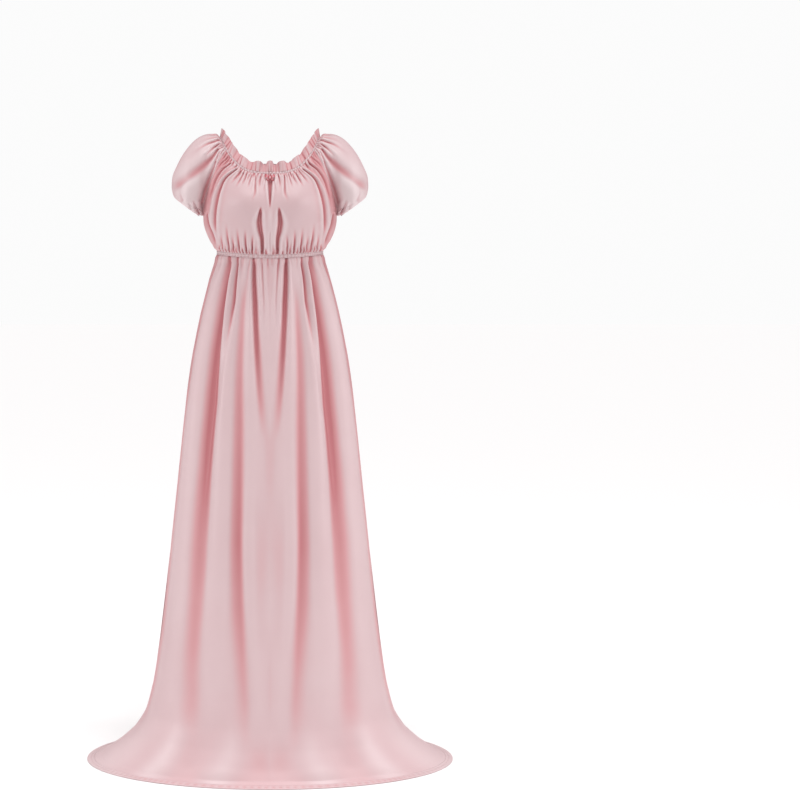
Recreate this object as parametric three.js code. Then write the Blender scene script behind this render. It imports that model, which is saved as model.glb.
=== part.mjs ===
// A high-waisted costume gown in satin: a gathered bodice with raglan puff sleeves, a frilled elastic neck,
// an elastic waist casing under the bust, and a long skirt whose hem spreads on the floor.
// Millimetres, +Z up, +X the wearer's left, -Y the front. The origin is the middle of the neck opening,
// level with the neck band where it sits on the shoulders. Heights in the tables are above the floor.
import * as THREE from "three";

const { clamp, lerp, smoothstep, degToRad } = THREE.MathUtils;

// ---- Driving dimensions ----
const HOLD_HEIGHT = 1470; // floor to the shoulders, which carry the gown
const CLOTH = 1.6; // wall of a gathered panel
const CASING = 2.4; // wall of the elastic casings and of the turned hem
const SEAM_GAP = 0.3; // clear space between two sewn pieces

// The neck opening: an ellipse in plan that dips at the front and back and rises over the shoulders.
const NECK = {
  halfWidth: 119,
  front: 102,
  back: 92,
  frontHeight: 1389,
  backHeight: 1398,
  shoulderHeight: 1480,
  scoop: 3.2,
  leanSide: 0.45,
  leanFront: 0.35,
};
const NECK_CASING_HEIGHT = 7;
const FRILL = { height: 23, waves: 27, footWave: 1.2, topWave: 5.5, drift: 0.9, inward: 9, shoulderLoss: 0.16 };

// The waist casing: an ellipse in plan, a little higher at the sides. Heights are of its middle line.
const WAIST = { halfWidth: 125, front: 100, back: 93, frontHeight: 1200, backHeight: 1196, sideHeight: 1210 };
const WAIST_CASING_HEIGHT = 12;
const WAIST_EDGE = WAIST_CASING_HEIGHT / 2 + SEAM_GAP; // from the casing's middle line to the next piece

// Where the raglan seams meet the neck, in degrees round from the front centre.
const FRONT_SEAM_ANGLE = 60;
const BACK_SEAM_ANGLE = 104;

const SIDE_ROWS = 4; // grid rows up the side seam
const RAGLAN_ROWS = 8; // grid rows up a raglan seam, shared by bodice and sleeve
const UNDERARM_ROWS = 2; // grid rows from the cuff to the armpit
const BODICE_ROWS = SIDE_ROWS + RAGLAN_ROWS;
const SLEEVE_ROWS = UNDERARM_ROWS + RAGLAN_ROWS;

// ---- Small helpers ----
const vec = (x, y, z) => new THREE.Vector3(x, y, z);
const place = (x, y, height) => vec(x, y, height - HOLD_HEIGHT);
const bump = (distance, width) => Math.exp(-((distance / width) ** 2));

// A smooth curve through the rows of a table of places.
function seamCurve(rows) {
  const points = rows.map((row) => place(row.x ?? 0, row.y, row.height));
  return new THREE.CatmullRomCurve3(points, false, "centripetal");
}

// A smooth value of one column of a table, from its first row at t = 0 to its last at t = 1.
function column(rows, key, t) {
  const place = clamp(t, 0, 1) * (rows.length - 1);
  const i = Math.min(Math.floor(place), rows.length - 2);
  const f = place - i;
  const b = rows[i][key];
  const c = rows[i + 1][key];
  const a = i > 0 ? rows[i - 1][key] : 2 * b - c;
  const d = i < rows.length - 2 ? rows[i + 2][key] : 2 * c - b;
  const turn = 2 * a - 5 * b + 4 * c - d;
  const twist = -a + 3 * b - 3 * c + d;
  return 0.5 * (2 * b + (c - a) * f + turn * f ** 2 + twist * f ** 3);
}

// The normal of the surface point(u, v), from points close by.
function surfaceNormal(point, u, v, loop = false) {
  const step = 0.002;
  const keep = (value) => (loop ? value : clamp(value, 0, 1));
  const across = point(keep(u + step), v).sub(point(keep(u - step), v));
  const up = point(u, clamp(v + step, 0, 1)).sub(point(u, clamp(v - step, 0, 1)));
  return across.cross(up).normalize();
}

// A closed wall of cloth round the grid of frame(u, v) = { point, normal }. u runs across and v up.
function wall(frame, columns, rows, thickness, { loop = false, mirror = false } = {}) {
  const across = loop ? columns : columns + 1;
  const positions = [];
  for (const side of [0.5, -0.5]) {
    for (let j = 0; j <= rows; j++) {
      for (let i = 0; i < across; i++) {
        const { point, normal } = frame(i / columns, j / rows);
        const moved = point.clone().addScaledVector(normal, side * thickness);
        positions.push(mirror ? -moved.x : moved.x, moved.y, moved.z);
      }
    }
  }
  const layer = across * (rows + 1);
  const outer = (i, j) => j * across + (i % across);
  const inner = (i, j) => layer + outer(i, j);
  const faces = [];
  const quad = (a, b, c, d) => faces.push(...(mirror ? [a, c, b, a, d, c] : [a, b, c, a, c, d]));
  for (let i = 0; i < columns; i++) {
    for (let j = 0; j < rows; j++) {
      quad(outer(i, j), outer(i + 1, j), outer(i + 1, j + 1), outer(i, j + 1));
      quad(inner(i, j), inner(i, j + 1), inner(i + 1, j + 1), inner(i + 1, j));
    }
    quad(outer(i, 0), inner(i, 0), inner(i + 1, 0), outer(i + 1, 0));
    quad(outer(i, rows), outer(i + 1, rows), inner(i + 1, rows), inner(i, rows));
  }
  for (let j = 0; j < rows && !loop; j++) {
    quad(outer(0, j), outer(0, j + 1), inner(0, j + 1), inner(0, j));
    quad(outer(columns, j), inner(columns, j), inner(columns, j + 1), outer(columns, j + 1));
  }
  const geometry = new THREE.BufferGeometry();
  geometry.setAttribute("position", new THREE.Float32BufferAttribute(positions, 3));
  geometry.setIndex(faces);
  geometry.computeVertexNormals();
  return geometry;
}

// ---- Neck ring ----
function neckPoint(angle) {
  const ahead = Math.cos(angle) > 0;
  const low = ahead ? NECK.frontHeight : NECK.backHeight;
  const rise = Math.abs(Math.sin(angle)) ** NECK.scoop;
  const depth = ahead ? NECK.front : NECK.back;
  const height = lerp(low, NECK.shoulderHeight, rise);
  return place(NECK.halfWidth * Math.sin(angle), -depth * Math.cos(angle), height);
}

// The way the cloth runs up through the neck band: up, leaning in towards the neck.
function neckUp(angle) {
  return vec(-NECK.leanSide * Math.sin(angle), NECK.leanFront * Math.cos(angle), 1).normalize();
}

function neckOut(angle) {
  const step = 0.001;
  const along = neckPoint(angle + step).sub(neckPoint(angle - step));
  return along.cross(neckUp(angle)).normalize();
}

// The top edge of a panel under the neck band. Over the shoulder it turns to come out sideways.
function neckEdge(angle, shift) {
  const sideways = 0.9 * smoothstep(Math.abs(Math.sin(angle)), 0.8, 1);
  const up = neckUp(angle);
  const normal = neckOut(angle).addScaledVector(up, sideways).normalize();
  const drop = SEAM_GAP + (CLOTH / 2) * normal.dot(up);
  return { point: neckPoint(angle + shift).addScaledVector(up, -drop), normal };
}

// ---- Waist ring ----
function waistPoint(angle, above) {
  const ahead = Math.cos(angle) > 0;
  const low = ahead ? WAIST.frontHeight : WAIST.backHeight;
  const depth = ahead ? WAIST.front : WAIST.back;
  const height = lerp(low, WAIST.sideHeight, Math.sin(angle) ** 2) + above;
  return place(WAIST.halfWidth * Math.sin(angle), -depth * Math.cos(angle), height);
}

function waistOut(angle) {
  const depth = Math.cos(angle) > 0 ? WAIST.front : WAIST.back;
  return vec(Math.sin(angle) / WAIST.halfWidth, -Math.cos(angle) / depth, 0).normalize();
}

// ---- Bodice seams and panels ----
const SIDE_SEAM = seamCurve([
  { x: WAIST.halfWidth, y: 0, height: WAIST.sideHeight + WAIST_EDGE },
  { x: 139, y: 3, height: 1235 },
  { x: 151, y: 6, height: 1260 },
  { x: 156, y: 8, height: 1281 },
  { x: 158, y: 8, height: 1298 },
]);
const ARMPIT = SIDE_SEAM.getPoint(1);
// The four cloth corners that meet at the armpit share this normal and stand apart in a small square.
const ARMPIT_NORMAL = vec(0.3, 0, -0.95).normalize();

const neckSeamRow = (degrees) => {
  const { x, y, z } = neckPoint(degToRad(degrees));
  return { x, y, height: z + HOLD_HEIGHT };
};
const FRONT_RAGLAN = seamCurve([
  { x: 158, y: 8, height: 1298 },
  { x: 157, y: -16, height: 1316 },
  { x: 148, y: -40, height: 1350 },
  { x: 134, y: -57, height: 1388 },
  { x: 118, y: -61, height: 1421 },
  neckSeamRow(FRONT_SEAM_ANGLE),
]);
const BACK_RAGLAN = seamCurve([
  { x: 158, y: 8, height: 1298 },
  { x: 154, y: 38, height: 1312 },
  { x: 153, y: 60, height: 1345 },
  { x: 153, y: 67, height: 1382 },
  { x: 147, y: 58, height: 1420 },
  { x: 134, y: 40, height: 1452 },
  neckSeamRow(BACK_SEAM_ANGLE),
]);

const FRONT_CENTRE = seamCurve([
  { y: -WAIST.front, height: WAIST.frontHeight + WAIST_EDGE },
  { y: -116, height: 1229 },
  { y: -126, height: 1254 },
  { y: -132, height: 1282 },
  { y: -133, height: 1312 },
  { y: -127, height: 1341 },
  { y: -115, height: 1367 },
  { y: -NECK.front, height: NECK.frontHeight },
]);
const BACK_CENTRE = seamCurve([
  { y: WAIST.back, height: WAIST.backHeight + WAIST_EDGE },
  { y: 105, height: 1232 },
  { y: 110, height: 1262 },
  { y: 112, height: 1300 },
  { y: 109, height: 1340 },
  { y: 102, height: 1370 },
  { y: NECK.back, height: NECK.backHeight },
]);

// How far a panel turns round the body from its middle to its edge, in degrees, from waist to neck.
const FRONT_SWEEP = [{ sweep: 90 }, { sweep: 88 }, { sweep: 80 }, { sweep: 70 }, { sweep: FRONT_SEAM_ANGLE }];
const BACK_SWEEP = [{ sweep: 90 }, { sweep: 88 }, { sweep: 84 }, { sweep: 80 }, { sweep: 180 - BACK_SEAM_ANGLE }];

// Long creases of a panel. at: share of the way from the middle to the edge, at the waist and at the neck.
// from and to: the stretch it runs over, 0 at the waist and 1 at the neck. Depth and width in millimetres.
const FRONT_CREASES = [
  { waist: 0, neck: 0, from: 0.62, to: 1.06, depth: 9, width: 7 },
  { waist: 0.08, neck: 0.3, from: -0.1, to: 0.52, depth: 8, width: 6 },
  { waist: 0.66, neck: 0.64, from: -0.05, to: 1.02, depth: 6, width: 6 },
  { waist: 0.6, neck: 0.52, from: 0.5, to: 1.03, depth: 4, width: 6 },
  { waist: 0.84, neck: 0.86, from: -0.05, to: 0.95, depth: 4, width: 7 },
];
const BACK_CREASES = [
  { waist: 0.05, neck: 0, from: 0.3, to: 1.04, depth: 8, width: 6 },
  { waist: 0.14, neck: 0.15, from: -0.05, to: 1.04, depth: 8, width: 7 },
  { waist: 0.36, neck: 0.33, from: -0.04, to: 1.03, depth: 5, width: 6 },
  { waist: 0.52, neck: 0.5, from: -0.04, to: 1.03, depth: 5, width: 6 },
  { waist: 0.68, neck: 0.68, from: -0.04, to: 1.02, depth: 5, width: 7 },
  { waist: 0.84, neck: 0.86, from: -0.02, to: 0.98, depth: 5, width: 7 },
];

const BUST = { fullness: 17, apart: 64, height: 1330, across: 44, tall: 40 };

const FRONT = {
  raglan: FRONT_RAGLAN,
  centre: FRONT_CENTRE,
  sweeps: FRONT_SWEEP,
  creases: FRONT_CREASES,
  middle: 0,
  facing: 1,
  neckGathers: 22,
  waistGathers: 11,
  bust: true,
};
const BACK = {
  raglan: BACK_RAGLAN,
  centre: BACK_CENTRE,
  sweeps: BACK_SWEEP,
  creases: BACK_CREASES,
  middle: Math.PI,
  facing: -1,
  neckGathers: 22,
  waistGathers: 11,
  bust: false,
};
const NECK_GATHER = { depth: 2.2, reach: 0.3 };
const WAIST_GATHER = { depth: 3, reach: 0.34 };

// A point of a panel's edge, on the wearer's left: up the side seam, then up the raglan seam.
function panelEdge(panel, v) {
  const armpit = SIDE_ROWS / BODICE_ROWS;
  if (v <= armpit) return SIDE_SEAM.getPointAt(v / armpit);
  return panel.raglan.getPointAt((v - armpit) / (1 - armpit));
}

// The smooth panel with no gathers. across runs from -1 at one edge to 1 at the other, and v up.
function smoothPanel(panel, across, v) {
  const edge = panelEdge(panel, v);
  const centre = panel.centre.getPointAt(v);
  const sweep = degToRad(column(panel.sweeps, "sweep", v));
  const turn = across * sweep;
  const out = Math.sin(turn) / Math.sin(sweep);
  const round = (1 - Math.cos(turn)) / (1 - Math.cos(sweep));
  const power = lerp(2, NECK.scoop, v);
  const point = vec(
    edge.x * out,
    lerp(centre.y, edge.y, round),
    lerp(centre.z, edge.z, Math.abs(out) ** power),
  );
  if (panel.bust) {
    const sideways = bump(Math.abs(point.x) - BUST.apart, BUST.across);
    const upwards = bump(point.z + HOLD_HEIGHT - BUST.height, BUST.tall);
    point.y -= BUST.fullness * sideways * upwards;
  }
  return point;
}

// How far the gathers and creases move a panel in or out.
function panelRelief(panel, across, v) {
  const share = Math.abs(across);
  const edgeFade = smoothstep(1 - share, 0, 0.08);
  const neckFade = smoothstep(v, 1 - NECK_GATHER.reach, 0.97) * (1 - 0.6 * smoothstep(v, 0.97, 1));
  const waistFade = 1 - smoothstep(v, 0.02, WAIST_GATHER.reach);
  const u = (across + 1) / 2;
  let relief = NECK_GATHER.depth * neckFade * Math.cos(2 * Math.PI * panel.neckGathers * u);
  relief += WAIST_GATHER.depth * waistFade * Math.cos(2 * Math.PI * panel.waistGathers * u);
  const halfWidth = panelEdge(panel, v).x;
  for (const crease of panel.creases) {
    const at = lerp(crease.waist, crease.neck, v);
    const lengthFade =
      smoothstep(v, crease.from, crease.from + 0.15) * (1 - smoothstep(v, crease.to - 0.15, crease.to));
    relief -= crease.depth * lengthFade * bump((share - at) * halfWidth, crease.width);
  }
  return relief * edgeFade;
}

function gatheredPanel(panel, across, v) {
  const smooth = (u, w) => smoothPanel(panel, 2 * u - 1, w);
  const u = (across + 1) / 2;
  const normal = surfaceNormal(smooth, u, v).multiplyScalar(panel.facing);
  return smooth(u, v).addScaledVector(normal, panelRelief(panel, across, v));
}

// The angle round the body of a place on a panel.
function bodyAngle(panel, across, v) {
  return panel.middle + panel.facing * across * degToRad(column(panel.sweeps, "sweep", v));
}

// ---- Sleeves ----
const CUFF_UNDERARM = place(165, 6, 1299);
// The sleeve's ridge line over the shoulder and its fullness before and behind it, from cuff to neck.
// The puff droops a little over the cuff.
const SLEEVE_SECTIONS = [
  { ridgeX: 212, ridgeHeight: 1338, front: 39, back: 38, droop: 0 },
  { ridgeX: 227, ridgeHeight: 1338, front: 53, back: 50, droop: 7 },
  { ridgeX: 235, ridgeHeight: 1360, front: 59, back: 56, droop: 4 },
  { ridgeX: 231, ridgeHeight: 1387, front: 57, back: 54, droop: 0 },
  { ridgeX: 221, ridgeHeight: 1412, front: 51, back: 49, droop: 0 },
  { ridgeX: 208, ridgeHeight: 1436, front: 44, back: 43, droop: 0 },
  { ridgeX: 192, ridgeHeight: 1457, front: 36, back: 36, droop: 0 },
  { ridgeX: 174, ridgeHeight: 1476, front: 28, back: 28, droop: 0 },
  { ridgeX: 155, ridgeHeight: 1486, front: 19, back: 19, droop: 0 },
  { ridgeX: 136, ridgeHeight: 1487, front: 10, back: 10, droop: 0 },
  { ridgeX: 118, ridgeHeight: 1478, front: 3, back: 3, droop: 0 },
];
const RIDGE_Y = 2;
const SLEEVE_GATHERS = { neck: 9, cuff: 11, neckDepth: 2.4, cuffDepth: 2.6, neckReach: 0.45, cuffReach: 0.22 };
// Long folds of a sleeve. at: share of the way round from the front seam, at the cuff and at the neck.
const SLEEVE_FOLDS = [
  { cuff: 0.1, neck: 0.08, from: 0.15, to: 1, depth: 7, width: 0.045 },
  { cuff: 0.46, neck: 0.16, from: 0.1, to: 0.98, depth: 7, width: 0.05 },
  { cuff: 0.62, neck: 0.5, from: 0.2, to: 0.9, depth: 4, width: 0.06 },
  { cuff: 0.88, neck: 0.9, from: 0.15, to: 1, depth: 7, width: 0.05 },
];
const UNDERARM_END = UNDERARM_ROWS / SLEEVE_ROWS;

// A point of a sleeve's edge: up the underarm seam, then up the front or back raglan seam.
function sleeveEdge(raglan, v) {
  if (v <= UNDERARM_END) return CUFF_UNDERARM.clone().lerp(ARMPIT, v / UNDERARM_END);
  return raglan.getPointAt((v - UNDERARM_END) / (1 - UNDERARM_END));
}

// The smooth left sleeve. u runs round from the front seam over the shoulder to the back seam, v from cuff up.
function smoothSleeve(u, v) {
  const front = sleeveEdge(FRONT_RAGLAN, v);
  const back = sleeveEdge(BACK_RAGLAN, v);
  const section = (key) => column(SLEEVE_SECTIONS, key, v);
  const ridge = place(section("ridgeX"), RIDGE_Y * (1 - v) + neckPoint(degToRad(82)).y * v, section("ridgeHeight"));
  const rise = smoothstep(v, UNDERARM_END, 1);
  const fullest = (edge, side, amount) =>
    edge
      .clone()
      .lerp(ridge, 0.5)
      .addScaledVector(vec(0.5 * rise, side * lerp(1, 0.75, rise), 0.43 * rise).normalize(), amount)
      .add(vec(0, 0, -section("droop")));
  const ahead = fullest(front, -1, section("front"));
  const behind = fullest(back, 1, section("back"));
  // Below the armpit the section closes on itself; above it, it ends at the seams.
  const closed = 1 - smoothstep(v, 0, UNDERARM_END + 0.15);
  const before = front.clone().multiplyScalar(2).sub(ahead).lerp(behind, closed);
  const after = back.clone().multiplyScalar(2).sub(behind).lerp(ahead, closed);
  const points = [before, front, ahead, ridge, behind, back, after];
  const span = clamp(u, 0, 1) * 4;
  const i = Math.min(Math.floor(span), 3);
  const key = (axis) =>
    column(points.slice(i, i + 4), axis, (1 + span - i) / 3);
  return vec(key("x"), key("y"), key("z"));
}

function sleeveRelief(u, v) {
  const edgeFade = smoothstep(Math.min(u, 1 - u), 0, 0.04);
  const { neckReach, cuffReach } = SLEEVE_GATHERS;
  const neckFade = smoothstep(v, 1 - neckReach, 0.95) * (1 - 0.6 * smoothstep(v, 0.95, 1));
  const cuffFade = 1 - smoothstep(v, 0.02, cuffReach);
  let relief = SLEEVE_GATHERS.neckDepth * neckFade * Math.cos(2 * Math.PI * SLEEVE_GATHERS.neck * u);
  relief += SLEEVE_GATHERS.cuffDepth * cuffFade * Math.cos(2 * Math.PI * SLEEVE_GATHERS.cuff * u);
  for (const fold of SLEEVE_FOLDS) {
    const at = lerp(fold.cuff, fold.neck, v);
    const lengthFade = smoothstep(v, fold.from, fold.from + 0.2) * (1 - smoothstep(v, fold.to - 0.2, fold.to));
    relief -= fold.depth * lengthFade * bump(u - at, fold.width);
  }
  return relief * edgeFade;
}

function gatheredSleeve(u, v) {
  return smoothSleeve(u, v).addScaledVector(surfaceNormal(smoothSleeve, u, v), sleeveRelief(u, v));
}

// ---- Seams: the two pieces of a seam share its line and its normal, and each stops short of the line ----
function seamEdge(onSeam, along, normal, inside) {
  const inward = along.clone().cross(normal).normalize();
  if (inward.dot(inside) < 0) inward.negate();
  return onSeam.clone().addScaledVector(inward, SEAM_GAP / 2);
}

// The corner of a piece at the armpit. Out: 1 for the sleeve, -1 for the bodice. Behind: 1 back, -1 front.
function armpitCorner(out, behind) {
  return ARMPIT.clone().add(vec(out, behind, 0.3 * out).multiplyScalar(SEAM_GAP / 2));
}

// The shared normal of a raglan seam, t from 0 at the armpit to 1 at the neck.
function raglanNormal(panel, t) {
  const bodice = surfaceNormal((u, v) => smoothPanel(panel, 2 * u - 1, v), 1, lerp(SIDE_ROWS / BODICE_ROWS, 1, t));
  const sleeve = surfaceNormal(smoothSleeve, panel === BACK ? 1 : 0, lerp(UNDERARM_END, 1, t));
  const shared = bodice.multiplyScalar(panel.facing).add(sleeve).normalize();
  return ARMPIT_NORMAL.clone().lerp(shared, smoothstep(t, 0, 0.2)).normalize();
}

const sideSeamNormal = (t) => vec(1, 0, -0.1).lerp(ARMPIT_NORMAL, smoothstep(t, 0.6, 1)).normalize();
const underarmNormal = (t) => vec(-0.79, 0, -0.61).lerp(ARMPIT_NORMAL, t).normalize();

function along(curvePoint, v, low, high) {
  const step = 0.01;
  return curvePoint(clamp(v + step, low, high)).sub(curvePoint(clamp(v - step, low, high)));
}

// A panel of the bodice as a frame for wall(), with u running round anticlockwise seen from above.
function panelFrame(panel) {
  const armpit = SIDE_ROWS / BODICE_ROWS;
  return (u, v) => {
    const across = panel.facing * (2 * u - 1);
    const angle = bodyAngle(panel, across, v);
    const atSeam = u === 0 || u === 1;
    const hand = vec(Math.sign(across) || 1, 1, 1);
    let point = gatheredPanel(panel, across, v);
    let normal = surfaceNormal((a, b) => gatheredPanel(panel, panel.facing * (2 * a - 1), b), u, v);
    if (atSeam && Math.abs(v - armpit) < 1e-6) {
      point = armpitCorner(-1, -panel.facing).multiply(hand);
      normal = ARMPIT_NORMAL.clone().multiply(hand);
    } else if (atSeam) {
      const below = v < armpit;
      const line = along((w) => panelEdge(panel, w), v, below ? 0 : armpit, below ? armpit : 1);
      normal = below ? sideSeamNormal(v / armpit) : raglanNormal(panel, (v - armpit) / (1 - armpit));
      const inside = gatheredPanel(panel, 0.98, v).sub(panelEdge(panel, v));
      point = seamEdge(panelEdge(panel, v), line, normal, inside).multiply(hand);
      normal.multiply(hand);
    }
    const shift = atSeam ? (Math.sign(0.5 - u) * SEAM_GAP) / 2 / WAIST.halfWidth : 0;
    if (v === 0) return { point: waistPoint(angle + shift, WAIST_EDGE), normal: waistOut(angle) };
    if (v < 1) return { point, normal };
    return neckEdge(angle, shift);
  };
}

// The left sleeve as a frame for wall(): u from the front seam round to the back seam.
function sleeveFrame(u, v) {
  const atSeam = u === 0 || u === 1;
  const panel = u < 0.5 ? FRONT : BACK;
  const edge = (w) => sleeveEdge(panel.raglan, w);
  const behind = -panel.facing;
  const shift = atSeam ? (-behind * SEAM_GAP) / 2 / NECK.halfWidth : 0;
  if (v === 1) return neckEdge(degToRad(lerp(FRONT_SEAM_ANGLE, BACK_SEAM_ANGLE, u)), shift);
  if (v === 0) return { point: cuffPoint(u, 0), normal: cuffOut(u) };
  if (!atSeam) return { point: gatheredSleeve(u, v), normal: surfaceNormal(gatheredSleeve, u, v) };
  const t = (v - UNDERARM_END) / (1 - UNDERARM_END);
  if (Math.abs(t) < 1e-6) return { point: armpitCorner(1, behind), normal: ARMPIT_NORMAL.clone() };
  if (t < 0) {
    const point = edge(v).add(vec(0, (behind * SEAM_GAP) / 2, 0));
    return { point, normal: underarmNormal(v / UNDERARM_END) };
  }
  const normal = raglanNormal(panel, t);
  const inside = gatheredSleeve(u === 0 ? 0.02 : 0.98, v).sub(edge(v));
  return { point: seamEdge(edge(v), along(edge, v, UNDERARM_END, 1), normal, inside), normal };
}

// ---- Neck casing and frill ----
function neckCasingFrame(u, v) {
  const angle = u * 2 * Math.PI;
  return { point: neckPoint(angle).addScaledVector(neckUp(angle), v * NECK_CASING_HEIGHT), normal: neckOut(angle) };
}

function frillPoint(u, v) {
  const angle = u * 2 * Math.PI;
  const wave = Math.cos(FRILL.waves * angle + FRILL.drift * Math.sin(3 * angle));
  const swing = lerp(FRILL.footWave, FRILL.topWave, v);
  const base = NECK_CASING_HEIGHT + SEAM_GAP;
  const height = FRILL.height * (1 - FRILL.shoulderLoss * Math.sin(angle) ** 8);
  // On the slopes beside the front the frill falls in over the neck.
  const slope = Math.sin(2 * angle) ** 2 * (Math.cos(angle) > 0 ? 1 : 0.4);
  return neckPoint(angle)
    .addScaledVector(neckUp(angle), base + v * height)
    .addScaledVector(neckOut(angle), swing * wave + v * (2 - FRILL.inward * slope));
}

function frillFrame(u, v) {
  const angle = u * 2 * Math.PI;
  const normal = v === 0 ? neckOut(angle) : surfaceNormal(frillPoint, u, v, true);
  return { point: frillPoint(u, v), normal };
}

// ---- Cuffs: an elastic ring just inside the sleeve's lower edge, in the plane of that edge ----
const CUFF_HEIGHT = 6.5;
const CUFF_ABOVE_EDGE = 2;
const CUFF_INSET = (CASING + CLOTH) / 2 + SEAM_GAP + 0.5;
const CUFF_AXIS = smoothSleeve(0.5, 0).sub(CUFF_UNDERARM).cross(vec(0, 1, 0)).normalize().negate();

function cuffPoint(u, down) {
  return smoothSleeve((u + 1) % 1, 0).addScaledVector(CUFF_AXIS, down);
}

function cuffOut(u) {
  const around = cuffPoint(u + 0.01, 0).sub(cuffPoint(u - 0.01, 0));
  return around.cross(CUFF_AXIS).negate().normalize();
}

function cuffFrame(u, v) {
  const down = (1 - v) * CUFF_HEIGHT - CUFF_ABOVE_EDGE;
  return { point: cuffPoint(u, down).addScaledVector(cuffOut(u), -CUFF_INSET), normal: cuffOut(u) };
}

// ---- Waist casing ----
function waistCasingFrame(u, v) {
  const angle = u * 2 * Math.PI;
  return { point: waistPoint(angle, (v - 0.5) * WAIST_CASING_HEIGHT), normal: waistOut(angle) };
}

// ---- Skirt ----
const HEM_WIDTH = 14;
// The skirt's outline from hem to waist: half width, front and back depth at each height.
const SKIRT_SECTIONS = [
  { height: 1.2, side: 424, front: 246, back: 262 },
  { height: 9, side: 404, front: 238, back: 252 },
  { height: 40, side: 362, front: 224, back: 237 },
  { height: 72, side: 327, front: 213, back: 225 },
  { height: 118, side: 298, front: 203, back: 215 },
  { height: 185, side: 280, front: 195, back: 207 },
  { height: 290, side: 264, front: 186, back: 197 },
  { height: 410, side: 248, front: 176, back: 186 },
  { height: 530, side: 234, front: 166, back: 176 },
  { height: 650, side: 220, front: 156, back: 167 },
  { height: 770, side: 207, front: 145, back: 158 },
  { height: 880, side: 194, front: 135, back: 149 },
  { height: 980, side: 179, front: 126, back: 138 },
  { height: 1070, side: 160, front: 116, back: 122 },
  { height: 1140, side: 142, front: 107, back: 107 },
  { height: WAIST.frontHeight - WAIST_EDGE, side: WAIST.halfWidth, front: WAIST.front, back: WAIST.back },
];
// Skirt folds, the same on the front and the back. at: degrees from the middle, and depth in millimetres,
// at the hem, ankle, knee, thigh, hip and waist. steep and soft: the width of its two sides in degrees.
const SKIRT_FOLDS = [
  { at: [59, 57, 52, 48, 45, 50], depth: [2, 8, 20, 27, 26, 11], steep: 4, soft: 9 },
  { at: [13, 15, 18, 20, 22, 24], depth: [2, 6, 13, 10, 4, 2], steep: 4, soft: 6 },
  { at: [4, 4, 5, 6, 10, 18.5], depth: [0, 0, 0, 2, 9, 10], steep: 3, soft: 4.5 },
  { at: [34, 34, 34, 35, 36, 37], depth: [4, 5, 3, 2, 5, 7], steep: 5, soft: 5 },
  { at: [30, 28, 28, 28, 28, 29], depth: [5, 3, 0, 0, 2, 4], steep: 4, soft: 4 },
  { at: [7, 7, 7, 7, 7, 8.6], depth: [0, 0, 0, 0, 1, 4], steep: 3, soft: 3 },
  { at: [77, 75, 72, 70, 69, 67], depth: [6, 8, 9, 9, 9, 7], steep: 5, soft: 6 },
  { at: [86, 85, 84, 83, 82, 80], depth: [2, 3, 4, 4, 4, 4], steep: 3.5, soft: 3.5 },
];

// The skirt's surface. angle runs round from the front centre, v from the hem up to the waist.
function smoothSkirt(angle, v) {
  const section = (key) => column(SKIRT_SECTIONS, key, v);
  const depth = Math.cos(angle) > 0 ? section("front") : section("back");
  return place(section("side") * Math.sin(angle), -depth * Math.cos(angle), section("height"));
}

function skirtRelief(angle, v) {
  const station = stationOf(column(SKIRT_SECTIONS, "height", v));
  const fromMiddle = THREE.MathUtils.radToDeg(Math.asin(Math.abs(Math.sin(angle))));
  const value = (list) => column(list.map((item) => ({ item })), "item", station);
  let relief = 0;
  for (const fold of SKIRT_FOLDS) {
    const away = fromMiddle - value(fold.at);
    relief -= value(fold.depth) * bump(away, away < 0 ? fold.steep : fold.soft);
  }
  return relief * smoothstep(v, 0, 0.12);
}

// The place of a height among the six stations of a fold: hem, ankle, knee, thigh, hip and waist.
const STATION_HEIGHTS = [0, 150, 450, 740, 950, WAIST.frontHeight];
function stationOf(height) {
  const upper = STATION_HEIGHTS.findIndex((h) => h >= height);
  if (upper <= 0) return upper < 0 ? 1 : 0;
  const low = STATION_HEIGHTS[upper - 1];
  return (upper - 1 + (height - low) / (STATION_HEIGHTS[upper] - low)) / (STATION_HEIGHTS.length - 1);
}

function foldedSkirt(angle, v) {
  const out = vec(Math.sin(angle), -Math.cos(angle), 0);
  return smoothSkirt(angle, v).addScaledVector(out, skirtRelief(angle, v));
}

// A skirt panel as a frame for wall(). It starts at the side seam at the angle start.
function skirtFrame(start) {
  const edge = SEAM_GAP / 2;
  return (u, v) => {
    const angle = start + Math.PI * u;
    const edgeSide = u === 0 ? 1 : u === 1 ? -1 : 0;
    const seamward = vec(0, Math.cos(start + Math.PI / 2) > 0 ? -edge : edge, 0).multiplyScalar(Math.abs(edgeSide));
    const flat = edgeSide ? vec(Math.sin(angle), 0, 0) : null;
    if (v === 1) {
      const point = waistPoint(angle, -WAIST_EDGE).add(seamward);
      return { point, normal: waistOut(angle) };
    }
    const point = foldedSkirt(angle, v).add(seamward);
    if (v === 0) return { point, normal: vec(0, 0, 1) };
    const normal = flat ?? surfaceNormal((a, b) => foldedSkirt(start + Math.PI * a, b), u, v, true);
    return { point, normal };
  };
}

// The turned hem: a flat band on the floor, just outside the skirt's lower edge.
function hemFrame(start) {
  const foot = SKIRT_SECTIONS[0];
  return (u, v) => {
    const angle = start + Math.PI * u;
    const ahead = Math.cos(start + Math.PI / 2) > 0;
    const depth = ahead ? foot.front : foot.back;
    const grow = SEAM_GAP + (1 - v) * HEM_WIDTH;
    const apart = u === 0 || u === 1 ? (ahead ? -SEAM_GAP : SEAM_GAP) / 2 : 0;
    const x = (foot.side + grow) * Math.sin(angle);
    const y = -(depth + grow) * Math.cos(angle) + apart;
    return { point: place(x, y, CASING / 2), normal: vec(0, 0, 1) };
  };
}

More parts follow.
